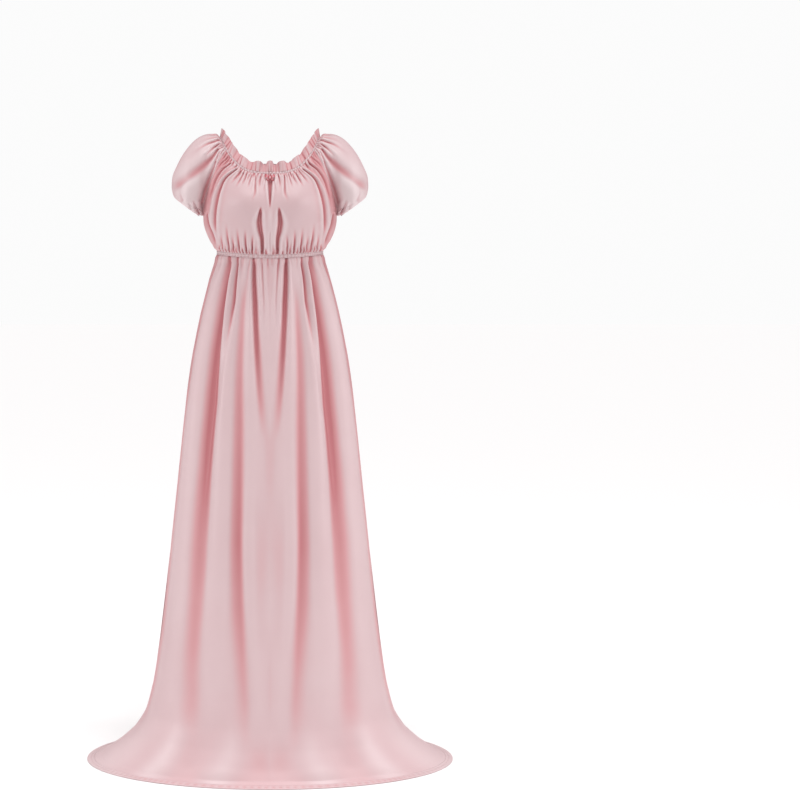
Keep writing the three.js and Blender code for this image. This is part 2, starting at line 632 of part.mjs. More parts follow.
// ---- Front bow, on the bodice just under the neck band ----
const BOW = { up: 0.945, sink: 3, loopLength: 5, loopDepth: 2.4, ribbon: 5.6, cloth: 1, knot: 3, tailLength: 0.045, tailWidth: 0.03 };

// A place over the front bodice, moved out from its face by part of the depth of its gathers and more.
function overBodice(across, v, out) {
  const normal = surfaceNormal((a, b) => smoothPanel(FRONT, 2 * a - 1, b), (across + 1) / 2, v);
  const clear = CLOTH / 2 + NECK_GATHER.depth - BOW.sink + SEAM_GAP + out;
  return { point: smoothPanel(FRONT, across, v).addScaledVector(normal, clear), normal };
}

// One loop of the bow: a ribbon bent round on itself, seen from above as a teardrop.
function bowLoop() {
  const { loopLength, loopDepth, cloth } = BOW;
  const teardrop = (shape, grow) => {
    const end = loopLength + grow;
    const side = loopDepth + grow;
    shape.moveTo(-grow, 0);
    shape.bezierCurveTo(loopLength * 0.4, -side, end, -side, end, 0);
    shape.bezierCurveTo(end, side, loopLength * 0.4, side, -grow, 0);
    return shape;
  };
  const shape = teardrop(new THREE.Shape(), cloth);
  shape.holes.push(teardrop(new THREE.Path(), 0));
  return new THREE.ExtrudeGeometry(shape, { depth: BOW.ribbon, bevelEnabled: false, curveSegments: 6 });
}

// One tail: a short strip hanging from the knot over the bodice, a little aslant.
function tailFrame(u, v) {
  const across = lerp(0.01, 0.01 + BOW.tailWidth, u) + (1 - v) * 0.02;
  return overBodice(across, BOW.up - 0.022 - (1 - v) * BOW.tailLength, BOW.cloth / 2);
}

// ---- Materials ----
const satin = (color, roughness) => new THREE.MeshStandardMaterial({ color, roughness, metalness: 0 });
const PANEL_SATIN = satin(0xe3bfc3, 0.42);
const CASING_SATIN = satin(0xd4a9ae, 0.5);
const HEM_SATIN = satin(0xe6c6ca, 0.45);
const BOW_SATIN = satin(0xe0aeb3, 0.35);

// ---- Assembly ----
const gown = new THREE.Group();

function add(name, geometry, material, parent = gown) {
  const mesh = new THREE.Mesh(geometry, material);
  mesh.name = name;
  parent.add(mesh);
  return mesh;
}

add("bodice_front", wall(panelFrame(FRONT), 2 * FRONT.neckGathers, BODICE_ROWS, CLOTH), PANEL_SATIN);
add("bodice_back", wall(panelFrame(BACK), 2 * BACK.neckGathers, BODICE_ROWS, CLOTH), PANEL_SATIN);

const SLEEVE_COLUMNS = 28;
const CUFF_COLUMNS = 24;
for (const [side, mirror] of [["left", false], ["right", true]]) {
  add(`sleeve_${side}`, wall(sleeveFrame, SLEEVE_COLUMNS, SLEEVE_ROWS, CLOTH, { mirror }), PANEL_SATIN);
  add(`cuff_${side}`, wall(cuffFrame, CUFF_COLUMNS, 1, CASING, { loop: true, mirror }), CASING_SATIN);
}

const NECK_COLUMNS = 84;
add("neck_casing", wall(neckCasingFrame, NECK_COLUMNS, 1, CASING, { loop: true }), CASING_SATIN);
add("neck_frill", wall(frillFrame, 4 * FRILL.waves, 2, CLOTH, { loop: true }), PANEL_SATIN);
add("waist_casing", wall(waistCasingFrame, 60, 1, CASING, { loop: true }), CASING_SATIN);

const SKIRT_COLUMNS = 48;
const SKIRT_ROWS = 15;
for (const [side, start] of [["front", -Math.PI / 2], ["back", Math.PI / 2]]) {
  add(`skirt_${side}`, wall(skirtFrame(start), SKIRT_COLUMNS, SKIRT_ROWS, CLOTH), PANEL_SATIN);
  add(`hem_${side}`, wall(hemFrame(start), SKIRT_COLUMNS, 1, CASING), HEM_SATIN);
}

const bow = new THREE.Group();
bow.position.copy(overBodice(0, BOW.up, BOW.loopDepth + BOW.cloth + 0.5).point);
gown.add(bow);
add("bow_knot", new THREE.CapsuleGeometry(BOW.knot / 2, 3, 3, 10).rotateX(Math.PI / 2), BOW_SATIN, bow);
for (const [side, turn] of [["left", 0], ["right", Math.PI]]) {
  const loop = add(`bow_loop_${side}`, bowLoop(), BOW_SATIN, bow);
  loop.position.set(Math.cos(turn) * (BOW.knot / 2 + BOW.cloth + SEAM_GAP), 0, -BOW.ribbon / 2);
  loop.rotation.z = turn;
  add(`bow_tail_${side}`, wall(tailFrame, 2, 3, BOW.cloth, { mirror: turn > 0 }), BOW_SATIN);
}

export default gown;
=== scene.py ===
"""A high-waisted satin costume gown, with a gathered bodice, raglan puff sleeves, a frilled elastic neck
and a long flared skirt.

Tables are in millimetres. Heights are above the floor, x runs to the wearer's left and -y is the front.
Every piece of cloth is a thin shell over its solid's form. Its larger creases are listed one by one, and its
gathers and soft swells are drawn at random from fixed seeds. Each shell carries a tone too, the attribute
"fold", which is painted shade and painted light: partly how deep a place lies, deeper and redder in troughs
and paler on crests, and partly set in listed bands.
"""
import math

import bpy
import numpy as np
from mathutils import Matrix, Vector


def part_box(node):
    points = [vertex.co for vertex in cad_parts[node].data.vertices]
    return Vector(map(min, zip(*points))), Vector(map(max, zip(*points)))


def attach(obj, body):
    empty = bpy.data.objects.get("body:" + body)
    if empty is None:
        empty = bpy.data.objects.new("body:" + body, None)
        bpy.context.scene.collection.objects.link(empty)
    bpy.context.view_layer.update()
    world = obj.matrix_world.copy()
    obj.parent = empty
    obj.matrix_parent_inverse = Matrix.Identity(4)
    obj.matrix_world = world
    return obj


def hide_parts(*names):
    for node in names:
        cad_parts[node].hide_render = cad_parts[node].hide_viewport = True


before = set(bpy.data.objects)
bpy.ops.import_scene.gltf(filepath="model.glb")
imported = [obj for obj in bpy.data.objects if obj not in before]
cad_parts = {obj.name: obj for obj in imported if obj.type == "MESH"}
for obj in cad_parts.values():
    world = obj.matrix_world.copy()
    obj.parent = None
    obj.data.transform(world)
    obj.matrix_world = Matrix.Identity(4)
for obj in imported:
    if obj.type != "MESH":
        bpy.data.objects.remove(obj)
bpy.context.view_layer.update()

MM = 0.001
HOLD_HEIGHT = 1470.0  # floor to the shoulders, where the gown is held
SATIN = 0.9  # wall of one layer of gathered satin
ELASTIC = 1.2  # wall of the elastic channels
FRILL_CLOTH = 0.8  # wall of the frill
HEM_CLOTH = 1.5  # wall of the turned hem
RIBBON = 0.5  # wall of the bow
SEED = 7

# ---------------------------------------------------------------- curves and tables


def smoothstep(x, low, high):
    t = np.clip((np.asarray(x, float) - low) / (high - low), 0.0, 1.0)
    return t * t * (3.0 - 2.0 * t)


def bump(distance, width):
    return np.exp(-((distance / width) ** 2))


def column(values, t):
    """A smooth curve through the values of one column, from the first at t = 0 to the last at t = 1."""
    values = np.asarray(values, float)
    last = len(values) - 1
    place = np.clip(t, 0.0, 1.0) * last
    i = np.minimum(np.floor(place).astype(int), last - 1)
    f = place - i
    b, c = values[i], values[i + 1]
    a = np.where(i > 0, values[np.maximum(i - 1, 0)], 2 * b - c)
    d = np.where(i < last - 1, values[np.minimum(i + 2, last)], 2 * c - b)
    return 0.5 * (2 * b + (c - a) * f + (2 * a - 5 * b + 4 * c - d) * f**2 + (3 * b - a - 3 * c + d) * f**3)


def seam(points, samples=600):
    """A function of 0 to 1 along a smooth line through the points, by its length."""
    pts = np.asarray(points, float)
    pts = np.vstack([2 * pts[0] - pts[1], pts, 2 * pts[-1] - pts[-2]])
    line = []
    for p0, p1, p2, p3 in zip(pts, pts[1:], pts[2:], pts[3:]):
        t0 = 0.0
        t1 = t0 + np.linalg.norm(p1 - p0) ** 0.5
        t2 = t1 + np.linalg.norm(p2 - p1) ** 0.5
        t3 = t2 + np.linalg.norm(p3 - p2) ** 0.5
        t = np.linspace(t1, t2, samples // (len(pts) - 3), endpoint=False)[:, None]
        a1 = (t1 - t) / (t1 - t0) * p0 + (t - t0) / (t1 - t0) * p1
        a2 = (t2 - t) / (t2 - t1) * p1 + (t - t1) / (t2 - t1) * p2
        a3 = (t3 - t) / (t3 - t2) * p2 + (t - t2) / (t3 - t2) * p3
        b1 = (t2 - t) / (t2 - t0) * a1 + (t - t0) / (t2 - t0) * a2
        b2 = (t3 - t) / (t3 - t1) * a2 + (t - t1) / (t3 - t1) * a3
        line.append((t2 - t) / (t2 - t1) * b1 + (t - t1) / (t2 - t1) * b2)
    line = np.vstack(line + [pts[-2][None]])
    length = np.concatenate([[0], np.cumsum(np.linalg.norm(np.diff(line, axis=0), axis=1))])
    length /= length[-1]
    return lambda t: np.stack([np.interp(t, length, line[:, k]) for k in range(3)], axis=-1)


def stack(x, y, z):
    return np.stack(np.broadcast_arrays(x, y, z), axis=-1).astype(float)


def unit(v):
    return v / np.maximum(np.linalg.norm(v, axis=-1, keepdims=True), 1e-12)


def grid_normals(points, loop=False):
    """Normals of a grid of points[row, column]: rows go up, and columns run round anticlockwise."""
    if loop:
        across = np.roll(points, -1, axis=1) - np.roll(points, 1, axis=1)
    else:
        across = np.gradient(points, axis=1)
    return unit(np.cross(across, np.gradient(points, axis=0)))


# ---------------------------------------------------------------- creases and gathers


def fold_line(path, depth, width, ridge, fade, lean=1.0):
    """A row of a table of creases: its path as (x, height), then its measures in millimetres.

    Ridge is the height of the cloth pushed up beside the trough, as a share of its depth. Fade is the share
    of the path over which it fades in and out.
    """
    return dict(path=path, depth=depth, width=width, ridge=ridge, fade=fade, lean=lean)


def crease(x, height, path, depth, width, ridge, fade, lean):
    """How far a trough drawn through path, [(x, height), ...], moves each place. Lean widens its outer side.

    Width is one number, or a row of numbers from the start of the path to its end.
    """
    path = np.asarray(path, float)
    widths = np.atleast_1d(np.asarray(width, float))
    t = np.linspace(0, 1, 8 * (len(path) - 1) + 1)
    line = np.stack([column(path[:, 0], t), column(path[:, 1], t)], axis=-1)
    reach = 3.4 * widths.max() * max(lean, 1.0)
    low, high = line.min(axis=0) - reach, line.max(axis=0) + reach
    near = (x > low[0]) & (x < high[0]) & (height > low[1]) & (height < high[1])
    result = np.zeros_like(x)
    if not near.any():
        return result
    px, ph = x[near], height[near]
    best = np.full(px.shape, 1e9)
    side = np.zeros_like(px)
    place = np.zeros_like(px)
    for k in range(len(line) - 1):
        a, b = line[k], line[k + 1]
        along = b - a
        s = np.clip(((px - a[0]) * along[0] + (ph - a[1]) * along[1]) / (along @ along), 0, 1)
        dx, dh = px - a[0] - s * along[0], ph - a[1] - s * along[1]
        away = np.hypot(dx, dh)
        closer = away < best
        best = np.where(closer, away, best)
        side = np.where(closer, along[0] * dh - along[1] * dx, side)
        place = np.where(closer, (k + s) / (len(line) - 1), place)
    wide = np.interp(place, np.linspace(0, 1, len(widths)), widths) if len(widths) > 1 else widths[0]
    wide = wide * np.where(side > 0, lean, 1.0)
    ends = 1 - smoothstep(place, 1 - fade[1], 1.0) if fade[1] > 0 else 1.0
    if fade[0] > 0:
        ends = ends * smoothstep(place, 0, fade[0])
    shape = -bump(best, wide) + ridge * bump(best - 1.9 * wide, wide)
    result[near] = depth * ends * shape
    return result


def both_hands(marks, seed):
    """Each mark of a table drawn for the wearer's left, and its near mirror image on the right."""
    rng = np.random.default_rng(seed)
    result = []
    for mark in marks:
        wander = rng.uniform(-1.2, 1.2)
        path = [(-x + wander, h) for x, h in mark["path"]]
        right = dict(mark, path=path, depth=mark["depth"] * rng.uniform(0.85, 1.1))
        result += [mark, right]
    return result


def gathers(along, away, starts, reach, depth, width, seed, spread=0.0, widen=0.09):
    """Uneven gathers drawn in from an edge. Along: millimetres on the edge. Away: millimetres from it."""
    rng = np.random.default_rng(seed)
    result = np.zeros_like(along)
    for start in starts:
        run = reach * rng.uniform(0.45, 1.5)
        deep = depth * rng.uniform(0.55, 1.3)
        drift = rng.uniform(-0.12, 0.12)
        wide = width * rng.uniform(0.8, 1.25) + widen * away
        centre = start + (spread * start + drift) * away
        fade = np.clip(1 - away / run, 0, 1) ** 1.2 * smoothstep(away, -6, 3)
        result -= deep * fade * bump(along - centre, wide)
    return result


def uneven(first, last, count, seed, jitter=0.3):
    rng = np.random.default_rng(seed)
    step = (last - first) / count
    return first + step * (np.arange(count) + 0.5 + rng.uniform(-jitter, jitter, count))


def soft_noise(x, y, size, seed):
    """A smooth random relief from -1 to 1, with swells about size long."""
    rng = np.random.default_rng(seed)
    result = np.zeros_like(x)
    for _ in range(9):
        angle, phase = rng.uniform(0, math.pi), rng.uniform(0, 2 * math.pi)
        scale = 2 * math.pi / (size * rng.uniform(0.7, 1.6))
        result += np.sin(scale * (x * math.cos(angle) + y * math.sin(angle)) + phase)
    return result / 9


def smooth_across(values, radius):
    """Each row averaged over the columns within the radius, twice."""
    for _ in range(2):
        padded = np.pad(values, ((0, 0), (radius + 1, radius)), mode="edge")
        total = np.cumsum(padded, axis=1)
        values = (total[:, 2 * radius + 1:] - total[:, :-2 * radius - 1]) / (2 * radius + 1)
    return values


def cavity(relief, scales):
    """How deep each place lies between its neighbours, from -0.25 on a crest to 1 in a deep trough.

    Scales are (columns to each side, millimetres of full depth, weight).
    """
    result = np.zeros_like(relief)
    for radius, full, weight in scales:
        hollow = (smooth_across(relief, radius) - relief) / full
        result += weight * np.clip(np.where(hollow < 0, 0.45 * hollow, hollow), -0.4, 1.2)
    return np.clip(result, -0.25, 1.0)


# ---------------------------------------------------------------- neck and waist rings

NECK = dict(half_width=119, front=102, back=92, front_height=1389, back_height=1398, shoulder_height=1480,
            scoop=3.2, lean_side=0.45, lean_front=0.35)
WAIST = dict(half_width=125, front=100, back=93, front_height=1200, back_height=1196, side_height=1210)
WAIST_CASING_HEIGHT = 12.0
FRONT_SEAM, BACK_SEAM = math.radians(60), math.radians(104)


def neck_point(angle):
    ahead = np.cos(angle) > 0
    depth = np.where(ahead, NECK["front"], NECK["back"])
    low = np.where(ahead, NECK["front_height"], NECK["back_height"])
    height = low + (NECK["shoulder_height"] - low) * np.abs(np.sin(angle)) ** NECK["scoop"]
    return stack(NECK["half_width"] * np.sin(angle), -depth * np.cos(angle), height)


def neck_up(angle):
    return unit(stack(-NECK["lean_side"] * np.sin(angle), NECK["lean_front"] * np.cos(angle), 1.0))


def neck_out(angle):
    return unit(np.cross(neck_point(angle + 1e-3) - neck_point(angle - 1e-3), neck_up(angle)))


def waist_point(angle, above):
    ahead = np.cos(angle) > 0
    depth = np.where(ahead, WAIST["front"], WAIST["back"])
    low = np.where(ahead, WAIST["front_height"], WAIST["back_height"])
    height = low + (WAIST["side_height"] - low) * np.sin(angle) ** 2 + above
    return stack(WAIST["half_width"] * np.sin(angle), -depth * np.cos(angle), height)


def waist_out(angle):
    depth = np.where(np.cos(angle) > 0, WAIST["front"], WAIST["back"])
    return unit(stack(np.sin(angle) / WAIST["half_width"], -np.cos(angle) / depth, 0 * angle))


# ---------------------------------------------------------------- bodice

SIDE_ROWS, RAGLAN_ROWS, UNDERARM_ROWS = 4, 8, 2
BODICE_ARMPIT = SIDE_ROWS / (SIDE_ROWS + RAGLAN_ROWS)
SLEEVE_ARMPIT = UNDERARM_ROWS / (UNDERARM_ROWS + RAGLAN_ROWS)
WAIST_EDGE = WAIST_CASING_HEIGHT / 2
NECK_LAP, WAIST_LAP = 1.0, 4.2  # where the bodice ends: above the neck line, and above the waist line

side_seam = seam([
    (125, 0, 1210 + WAIST_EDGE), (139, 3, 1235), (151, 6, 1260), (156, 8, 1281), (158, 8, 1298),
])
front_raglan = seam([
    (158, 8, 1298), (157, -16, 1316), (148, -40, 1350), (134, -57, 1388), (118, -61, 1421),
    tuple(neck_point(FRONT_SEAM)),
])
back_raglan = seam([
    (158, 8, 1298), (154, 38, 1312), (153, 60, 1345), (153, 67, 1382), (147, 58, 1420), (134, 40, 1452),
    tuple(neck_point(BACK_SEAM)),
])
front_centre = seam([
    (0, -100, 1200 + WAIST_EDGE), (0, -116, 1229), (0, -126, 1254), (0, -132, 1282), (0, -133, 1312),
    (0, -127, 1341), (0, -115, 1367), (0, -102, 1389),
])
back_centre = seam([
    (0, 93, 1196 + WAIST_EDGE), (0, 105, 1232), (0, 110, 1262), (0, 112, 1300), (0, 109, 1340),
    (0, 102, 1370), (0, 92, 1398),
])
PANELS = {
    "front": dict(raglan=front_raglan, centre=front_centre, middle=0.0, facing=1,
                  sweeps=(90, 88, 80, 70, 60)),
    "back": dict(raglan=back_raglan, centre=back_centre, middle=math.pi, facing=-1,
                 sweeps=(90, 88, 84, 80, 76)),
}
BUST = dict(fullness=17, apart=64, height=1330, across=44, tall=40)


def panel_edge(panel, v):
    below = side_seam(np.clip(v / BODICE_ARMPIT, 0, 1))
    above = panel["raglan"](np.clip((v - BODICE_ARMPIT) / (1 - BODICE_ARMPIT), 0, 1))
    return np.where((v <= BODICE_ARMPIT)[..., None], below, above)


def smooth_panel(panel, across, v):
    """The bodice panel with no gathers. Across runs from -1 to 1, wearer's right to left."""
    edge = panel_edge(panel, v)
    centre = panel["centre"](v)
    sweep = np.radians(column(panel["sweeps"], v))
    out = np.sin(across * sweep) / np.sin(sweep)
    round_ = (1 - np.cos(across * sweep)) / (1 - np.cos(sweep))
    power = 2 + (NECK["scoop"] - 2) * v
    x = edge[..., 0] * out
    y = centre[..., 1] + (edge[..., 1] - centre[..., 1]) * round_
    z = centre[..., 2] + (edge[..., 2] - centre[..., 2]) * np.abs(out) ** power
    if panel["facing"] > 0:
        bust = bump(np.abs(x) - BUST["apart"], BUST["across"]) * bump(z - BUST["height"], BUST["tall"])
        y = y - BUST["fullness"] * bust
    return stack(x, y, z)


# Creases of the front bodice: path, depth, width, ridge and fade. A negative depth is a raised pleat.
FRONT_CREASES = [
    # the narrow wedge under the bow
    fold_line([(0, 1387), (0, 1372), (0, 1357), (0, 1334), (0, 1304)],
              8.5, (7.5, 6.2, 4.0, 3.0, 1.8), 0.35, (0.18, 0.3)),
    # the pleat that stands between the two tall folds, and the fine line down it
    fold_line([(0, 1318), (0, 1285), (0, 1250), (0, 1206)], -3.5, (4.0, 7.0, 8.0, 9.0), 0.0, (0.3, 0.0)),
    fold_line([(1, 1262), (0, 1240), (1, 1206)], 1.6, 1.6, 0.5, (0.3, 0.0)),
] + both_hands([
    # the tall folds beside it, pointed at the top
    fold_line([(20, 1314), (22, 1296), (24, 1276), (22, 1258), (18, 1238), (17, 1206)],
              13.0, (2.0, 4.1, 6.2, 5.8, 4.2, 3.2), 0.12, (0.22, 0.0)),
    # sharp gathers that fan out below the neck
    fold_line([(8, 1384), (11, 1362), (13, 1342)], 2.2, (1.3, 2.4), 0.5, (0.0, 0.7)),
    fold_line([(20, 1384), (23, 1366), (22, 1350)], 1.8, (1.2, 2.2), 0.5, (0.0, 0.8)),
    fold_line([(33, 1386), (34, 1362), (35, 1342), (44, 1322)], 3.2, (1.4, 2.6, 4.0), 0.5, (0.0, 0.6)),
    fold_line([(43, 1388), (48, 1370), (53, 1354)], 2.8, (1.3, 2.7), 0.5, (0.0, 0.8)),
    fold_line([(52, 1389), (58, 1374), (66, 1360)], 2.8, (1.3, 2.7), 0.5, (0.0, 0.8)),
    fold_line([(60, 1392), (69, 1374), (80, 1356)], 3.6, (1.4, 3.0), 0.5, (0.0, 0.7)),
    fold_line([(67, 1397), (80, 1380), (92, 1364)], 3.2, (1.4, 2.9), 0.5, (0.0, 0.7)),
    # the long creases that sweep from the neck down beside the armhole
    fold_line([(74, 1403), (101, 1381), (114, 1357), (123, 1329), (128, 1298), (128, 1262), (121, 1226)],
              6.5, (1.8, 2.6, 3.5, 4.3, 4.4, 4.0, 3.2), 0.6, (0.02, 0.35)),
    fold_line([(88, 1417), (110, 1400), (126, 1376), (137, 1346), (144, 1316)],
              5.0, (1.6, 2.6, 3.5, 3.5), 0.5, (0.02, 0.5)),
    fold_line([(97, 1430), (113, 1416), (124, 1402)], 3.0, (1.4, 2.7), 0.5, (0.0, 0.6)),
    # the dark fold under the arm
    fold_line([(150, 1304), (146, 1280), (138, 1256), (127, 1224)],
              6.5, (2.4, 4.0, 4.0, 2.9), 0.35, (0.1, 0.2)),
    # folds drawn up from the waist, dark and pointed
    fold_line([(39, 1206), (40, 1228), (38, 1256)], 5.5, (1.6, 2.4, 3.7), 0.45, (0.0, 0.8)),
    fold_line([(54, 1206), (57, 1232), (57, 1268)], 6.5, (1.9, 2.7, 4.0), 0.4, (0.0, 0.8)),
    fold_line([(69, 1207), (73, 1234), (76, 1272)], 6.0, (1.8, 2.7, 4.0), 0.4, (0.0, 0.8)),
    fold_line([(83, 1208), (86, 1228), (89, 1252)], 4.6, (1.6, 2.4, 3.5), 0.45, (0.0, 0.8)),
    fold_line([(94, 1210), (99, 1240), (103, 1282)], 6.0, (1.9, 2.9, 4.3), 0.4, (0.0, 0.75)),
    fold_line([(108, 1213), (112, 1234), (113, 1258)], 4.4, (1.6, 2.6, 3.4), 0.4, (0.0, 0.8)),
], SEED + 5)
FRONT_WAIST_GATHERS = [-116, -101, -88, -76, -62, -47, -31, -9, 8, 30, 46, 63, 77, 89, 101, 117]
BACK_CREASES = [
    fold_line([(-27, 1396), (-27, 1350), (-26, 1300), (-24, 1250), (-20, 1202)],
              7.0, 6.0, 0.45, (0.0, 0.05)),
    fold_line([(26, 1396), (26, 1350), (25, 1300), (23, 1250), (20, 1202)], 7.0, 6.0, 0.45, (0.0, 0.05)),
    fold_line([(0, 1396), (0, 1362), (0, 1330), (1, 1304)], 7.5, 6.0, 0.4, (0.0, 0.3)),
    fold_line([(0, 1322), (-5, 1290), (-9, 1250), (-12, 1204)], 5.0, 4.5, 0.4, (0.3, 0.05)),
    fold_line([(1, 1322), (5, 1290), (9, 1250), (11, 1204)], 5.0, 4.5, 0.4, (0.3, 0.05)),
] + [
    fold_line([(way * x, h) for x, h in path], depth, width, 0.4, (0.0, fade))
    for path, depth, width, fade in (
        ([(47, 1402), (50, 1350), (50, 1290), (46, 1204)], 4.2, 5.5, 0.1),
        ([(66, 1410), (72, 1360), (74, 1300), (68, 1206)], 4.4, 5.5, 0.1),
        ([(86, 1424), (94, 1375), (100, 1310), (92, 1208)], 4.4, 6.0, 0.1),
        ([(103, 1442), (117, 1395), (126, 1320), (116, 1212)], 4.6, 6.0, 0.15),
    )
    for way in (-1, 1)
]
BACK_WAIST_GATHERS = [-118, -104, -92, -80, -70, -61, -46, -38, -31, -21, -14, -7,
                      7, 14, 22, 31, 38, 46, 62, 70, 81, 92, 104, 118]
# Gathers of each panel. Of those at the neck: how far they go to each side of the middle, how many, the seed
# of their places, how long and how deep they are, and the panel's nominal length down from the neck. Then
# those at the waist: their places and how long they are.
BODICE_GATHERS = {
    "front": dict(half=108, count=27, seed=SEED, reach=30, depth=2.8, length=225,
                  waist=FRONT_WAIST_GATHERS, waist_reach=26),
    "back": dict(half=130, count=30, seed=SEED + 1, reach=90, depth=2.6, length=235,
                 waist=BACK_WAIST_GATHERS, waist_reach=75),
}
NECK_RADIUS = 105  # nominal millimetres of neck edge to one radian of sweep
BODICE_LENGTH = 225  # nominal millimetres from the waist up to the neck
CREASE_SHARE = 0.72  # how much of the tables' depths the cloth takes


def bodice_panel(side, columns, rows):
    """The gathered panel as a grid of points, columns running anticlockwise seen from above."""
    panel = PANELS[side]
    u, v = np.meshgrid(np.linspace(0, 1, columns + 1), np.linspace(0, 1, rows + 1))
    across = panel["facing"] * (2 * u - 1)
    points = smooth_panel(panel, across, v)
    normals = grid_normals(points)
    x, height = points[..., 0], points[..., 2]
    share = np.abs(across)
    sweep = np.radians(column(panel["sweeps"], v))
    # Millimetres along the neck edge, down from it, and up from the waist.
    drawn = BODICE_GATHERS[side]
    neck_along = across * sweep[-1:, :] * NECK_RADIUS
    neck_away = (1 - v) * drawn["length"]
    waist_away = v * BODICE_LENGTH
    starts = uneven(-drawn["half"], drawn["half"], drawn["count"], drawn["seed"])
    lines = gathers(neck_along, neck_away, starts, drawn["reach"], drawn["depth"], 1.0, SEED + 2,
                    spread=0.0012)
    lines += gathers(x, waist_away, drawn["waist"], drawn["waist_reach"], 2.8, 1.6, SEED + 3, spread=0.0008)
    # the short tucks between them, right beside the elastic
    tucks = gathers(neck_along, neck_away - 1, uneven(-110, 110, 34, SEED + 6), 13, 3.0, 0.9, SEED + 7)
    tucks += gathers(x, waist_away - 2, uneven(-122, 122, 30, SEED + 8), 15, 3.0, 1.1, SEED + 9)
    relief = 0 * x
    for mark in FRONT_CREASES if side == "front" else BACK_CREASES:
        relief += crease(x, height, **mark)
    troughs = np.maximum(-relief, 0)
    relief = CREASE_SHARE * relief + lines + tucks
    relief += 0.7 * soft_noise(x, height, 60, SEED + 4)
    edge = smoothstep(1 - share, 0, 0.05)
    top = 1 - 0.5 * smoothstep(v, 0.96, 1.0)
    points = points + normals * (relief * edge * top)[..., None]
    # The cloth puffs a little beside the casings, and its edges are drawn in to them.
    puff = 2.4 * bump(waist_away - 7, 5) + 1.3 * bump(neck_away - 6, 4)
    points = points + normals * (puff * edge)[..., None]
    angle = panel["middle"] + panel["facing"] * across * sweep
    to_neck = smoothstep(v, 0.978, 1.0)[..., None]
    points = points * (1 - to_neck) + (neck_point(angle) + NECK_LAP * neck_up(angle)) * to_neck
    to_waist = (1 - smoothstep(v, 0, 0.024))[..., None]
    points = points * (1 - to_waist) + waist_point(angle, WAIST_LAP - 0.7 - 0.9 * tucks) * to_waist
    # Painted shade: deeper and redder in the creases, gathers and tucks, with painted light on the crests;
    # the tall folds are kept a little paler.
    painted_shading = cavity(relief * edge, [(2, 1.3, 0.4), (6, 3.2, 0.35), (18, 8.0, 0.45)])
    painted_shading += 0.06 * troughs - 0.16 * np.maximum(troughs - 6, 0) - 0.2 * lines - 0.27 * tucks
    # Painted shade on the sides of the panel, and a painted highlight, a lighter line, along the front raglan
    # seam.
    painted_shading += 0.5 * smoothstep(share, 0.62, 0.93)
    if side == "front":
        seam_highlight_mask = smoothstep(v, BODICE_ARMPIT - 0.04, BODICE_ARMPIT + 0.06)
        seam_highlight_mask = seam_highlight_mask * (1 - smoothstep(v, 0.72, 0.9))
        painted_shading -= 0.9 * seam_highlight_mask * bump(share - 0.985, 0.022)
    return points, painted_shading


# ---------------------------------------------------------------- sleeves

CUFF_UNDERARM = np.array((165.0, 6.0, 1299.0))
ARMPIT = np.array((158.0, 8.0, 1298.0))
# The ridge line over the shoulder and the fullness before and behind it, from cuff to neck.
# The puff droops a little over the cuff.
SLEEVE_SECTIONS = np.array([
    # ridge x, ridge height, front, back, droop
    (212, 1338, 39, 38, 0), (225, 1340, 52, 50, 5), (231, 1361, 58, 56, 3), (229, 1388, 56, 54, 0),
    (220, 1413, 51, 49, 0), (208, 1437, 44, 43, 0), (192, 1459, 36, 36, 0), (174, 1477, 28, 28, 0),
    (155, 1487, 19, 19, 0), (136, 1489, 10, 10, 0), (118, 1482, 3, 3, 0),
], float)
# Nominal millimetres that the sleeve's gathers and soft swells are laid out on: round it at the neck, at the
# cuff and for the swells, then down it from the neck and up it from the cuff.
SLEEVE_NECK, SLEEVE_CUFF, SLEEVE_ROUND, SLEEVE_DROP, SLEEVE_LENGTH = 95, 250, 220, 190, 200
# Creases of the left sleeve, as seen from the front.
SLEEVE_CREASES = [
    # the deep trough that runs from the front of the neck to the far side of the cuff
    fold_line([(120, 1452), (128, 1438), (142, 1422), (162, 1403), (186, 1386), (214, 1367), (230, 1357)],
              4.8, (2.4, 5.0, 8.5, 11.0, 11.5, 10.0), 0.35, (0.02, 0.2), lean=1.3),
    # the soft one beside the raglan seam
    fold_line([(124, 1424), (134, 1396), (143, 1368), (152, 1338), (160, 1312)],
              3.6, (1.8, 3.0, 4.0, 3.6), 0.5, (0.05, 0.15), lean=1.9),
    # the two small tucks at the underarm
    fold_line([(178, 1334), (173, 1318), (166, 1303)], 4.6, (3.0, 4.6, 3.0), 0.6, (0.4, 0.0)),
    fold_line([(187, 1326), (184, 1312)], 2.6, 3.0, 0.4, (0.5, 0.0)),
    # gathers drawn out from the neck
    fold_line([(119, 1462), (130, 1454), (146, 1438), (158, 1424)], 3.6, (1.8, 3.0, 4.0), 0.5, (0.0, 0.6)),
    fold_line([(119, 1472), (135, 1468), (158, 1456), (182, 1436)], 3.2, (1.8, 3.0, 4.6), 0.5, (0.0, 0.7)),
    fold_line([(118, 1442), (126, 1424), (134, 1408)], 3.6, (1.8, 3.2), 0.5, (0.0, 0.7)),
    fold_line([(205, 1332), (209, 1346), (207, 1368)], 2.6, 5.0, 0.3, (0.0, 0.7)),
]


def sleeve_edge(raglan, v):
    t = np.clip(v / SLEEVE_ARMPIT, 0, 1)[..., None]
    below = CUFF_UNDERARM * (1 - t) + ARMPIT * t
    above = raglan(np.clip((v - SLEEVE_ARMPIT) / (1 - SLEEVE_ARMPIT), 0, 1))
    return np.where((v <= SLEEVE_ARMPIT)[..., None], below, above)


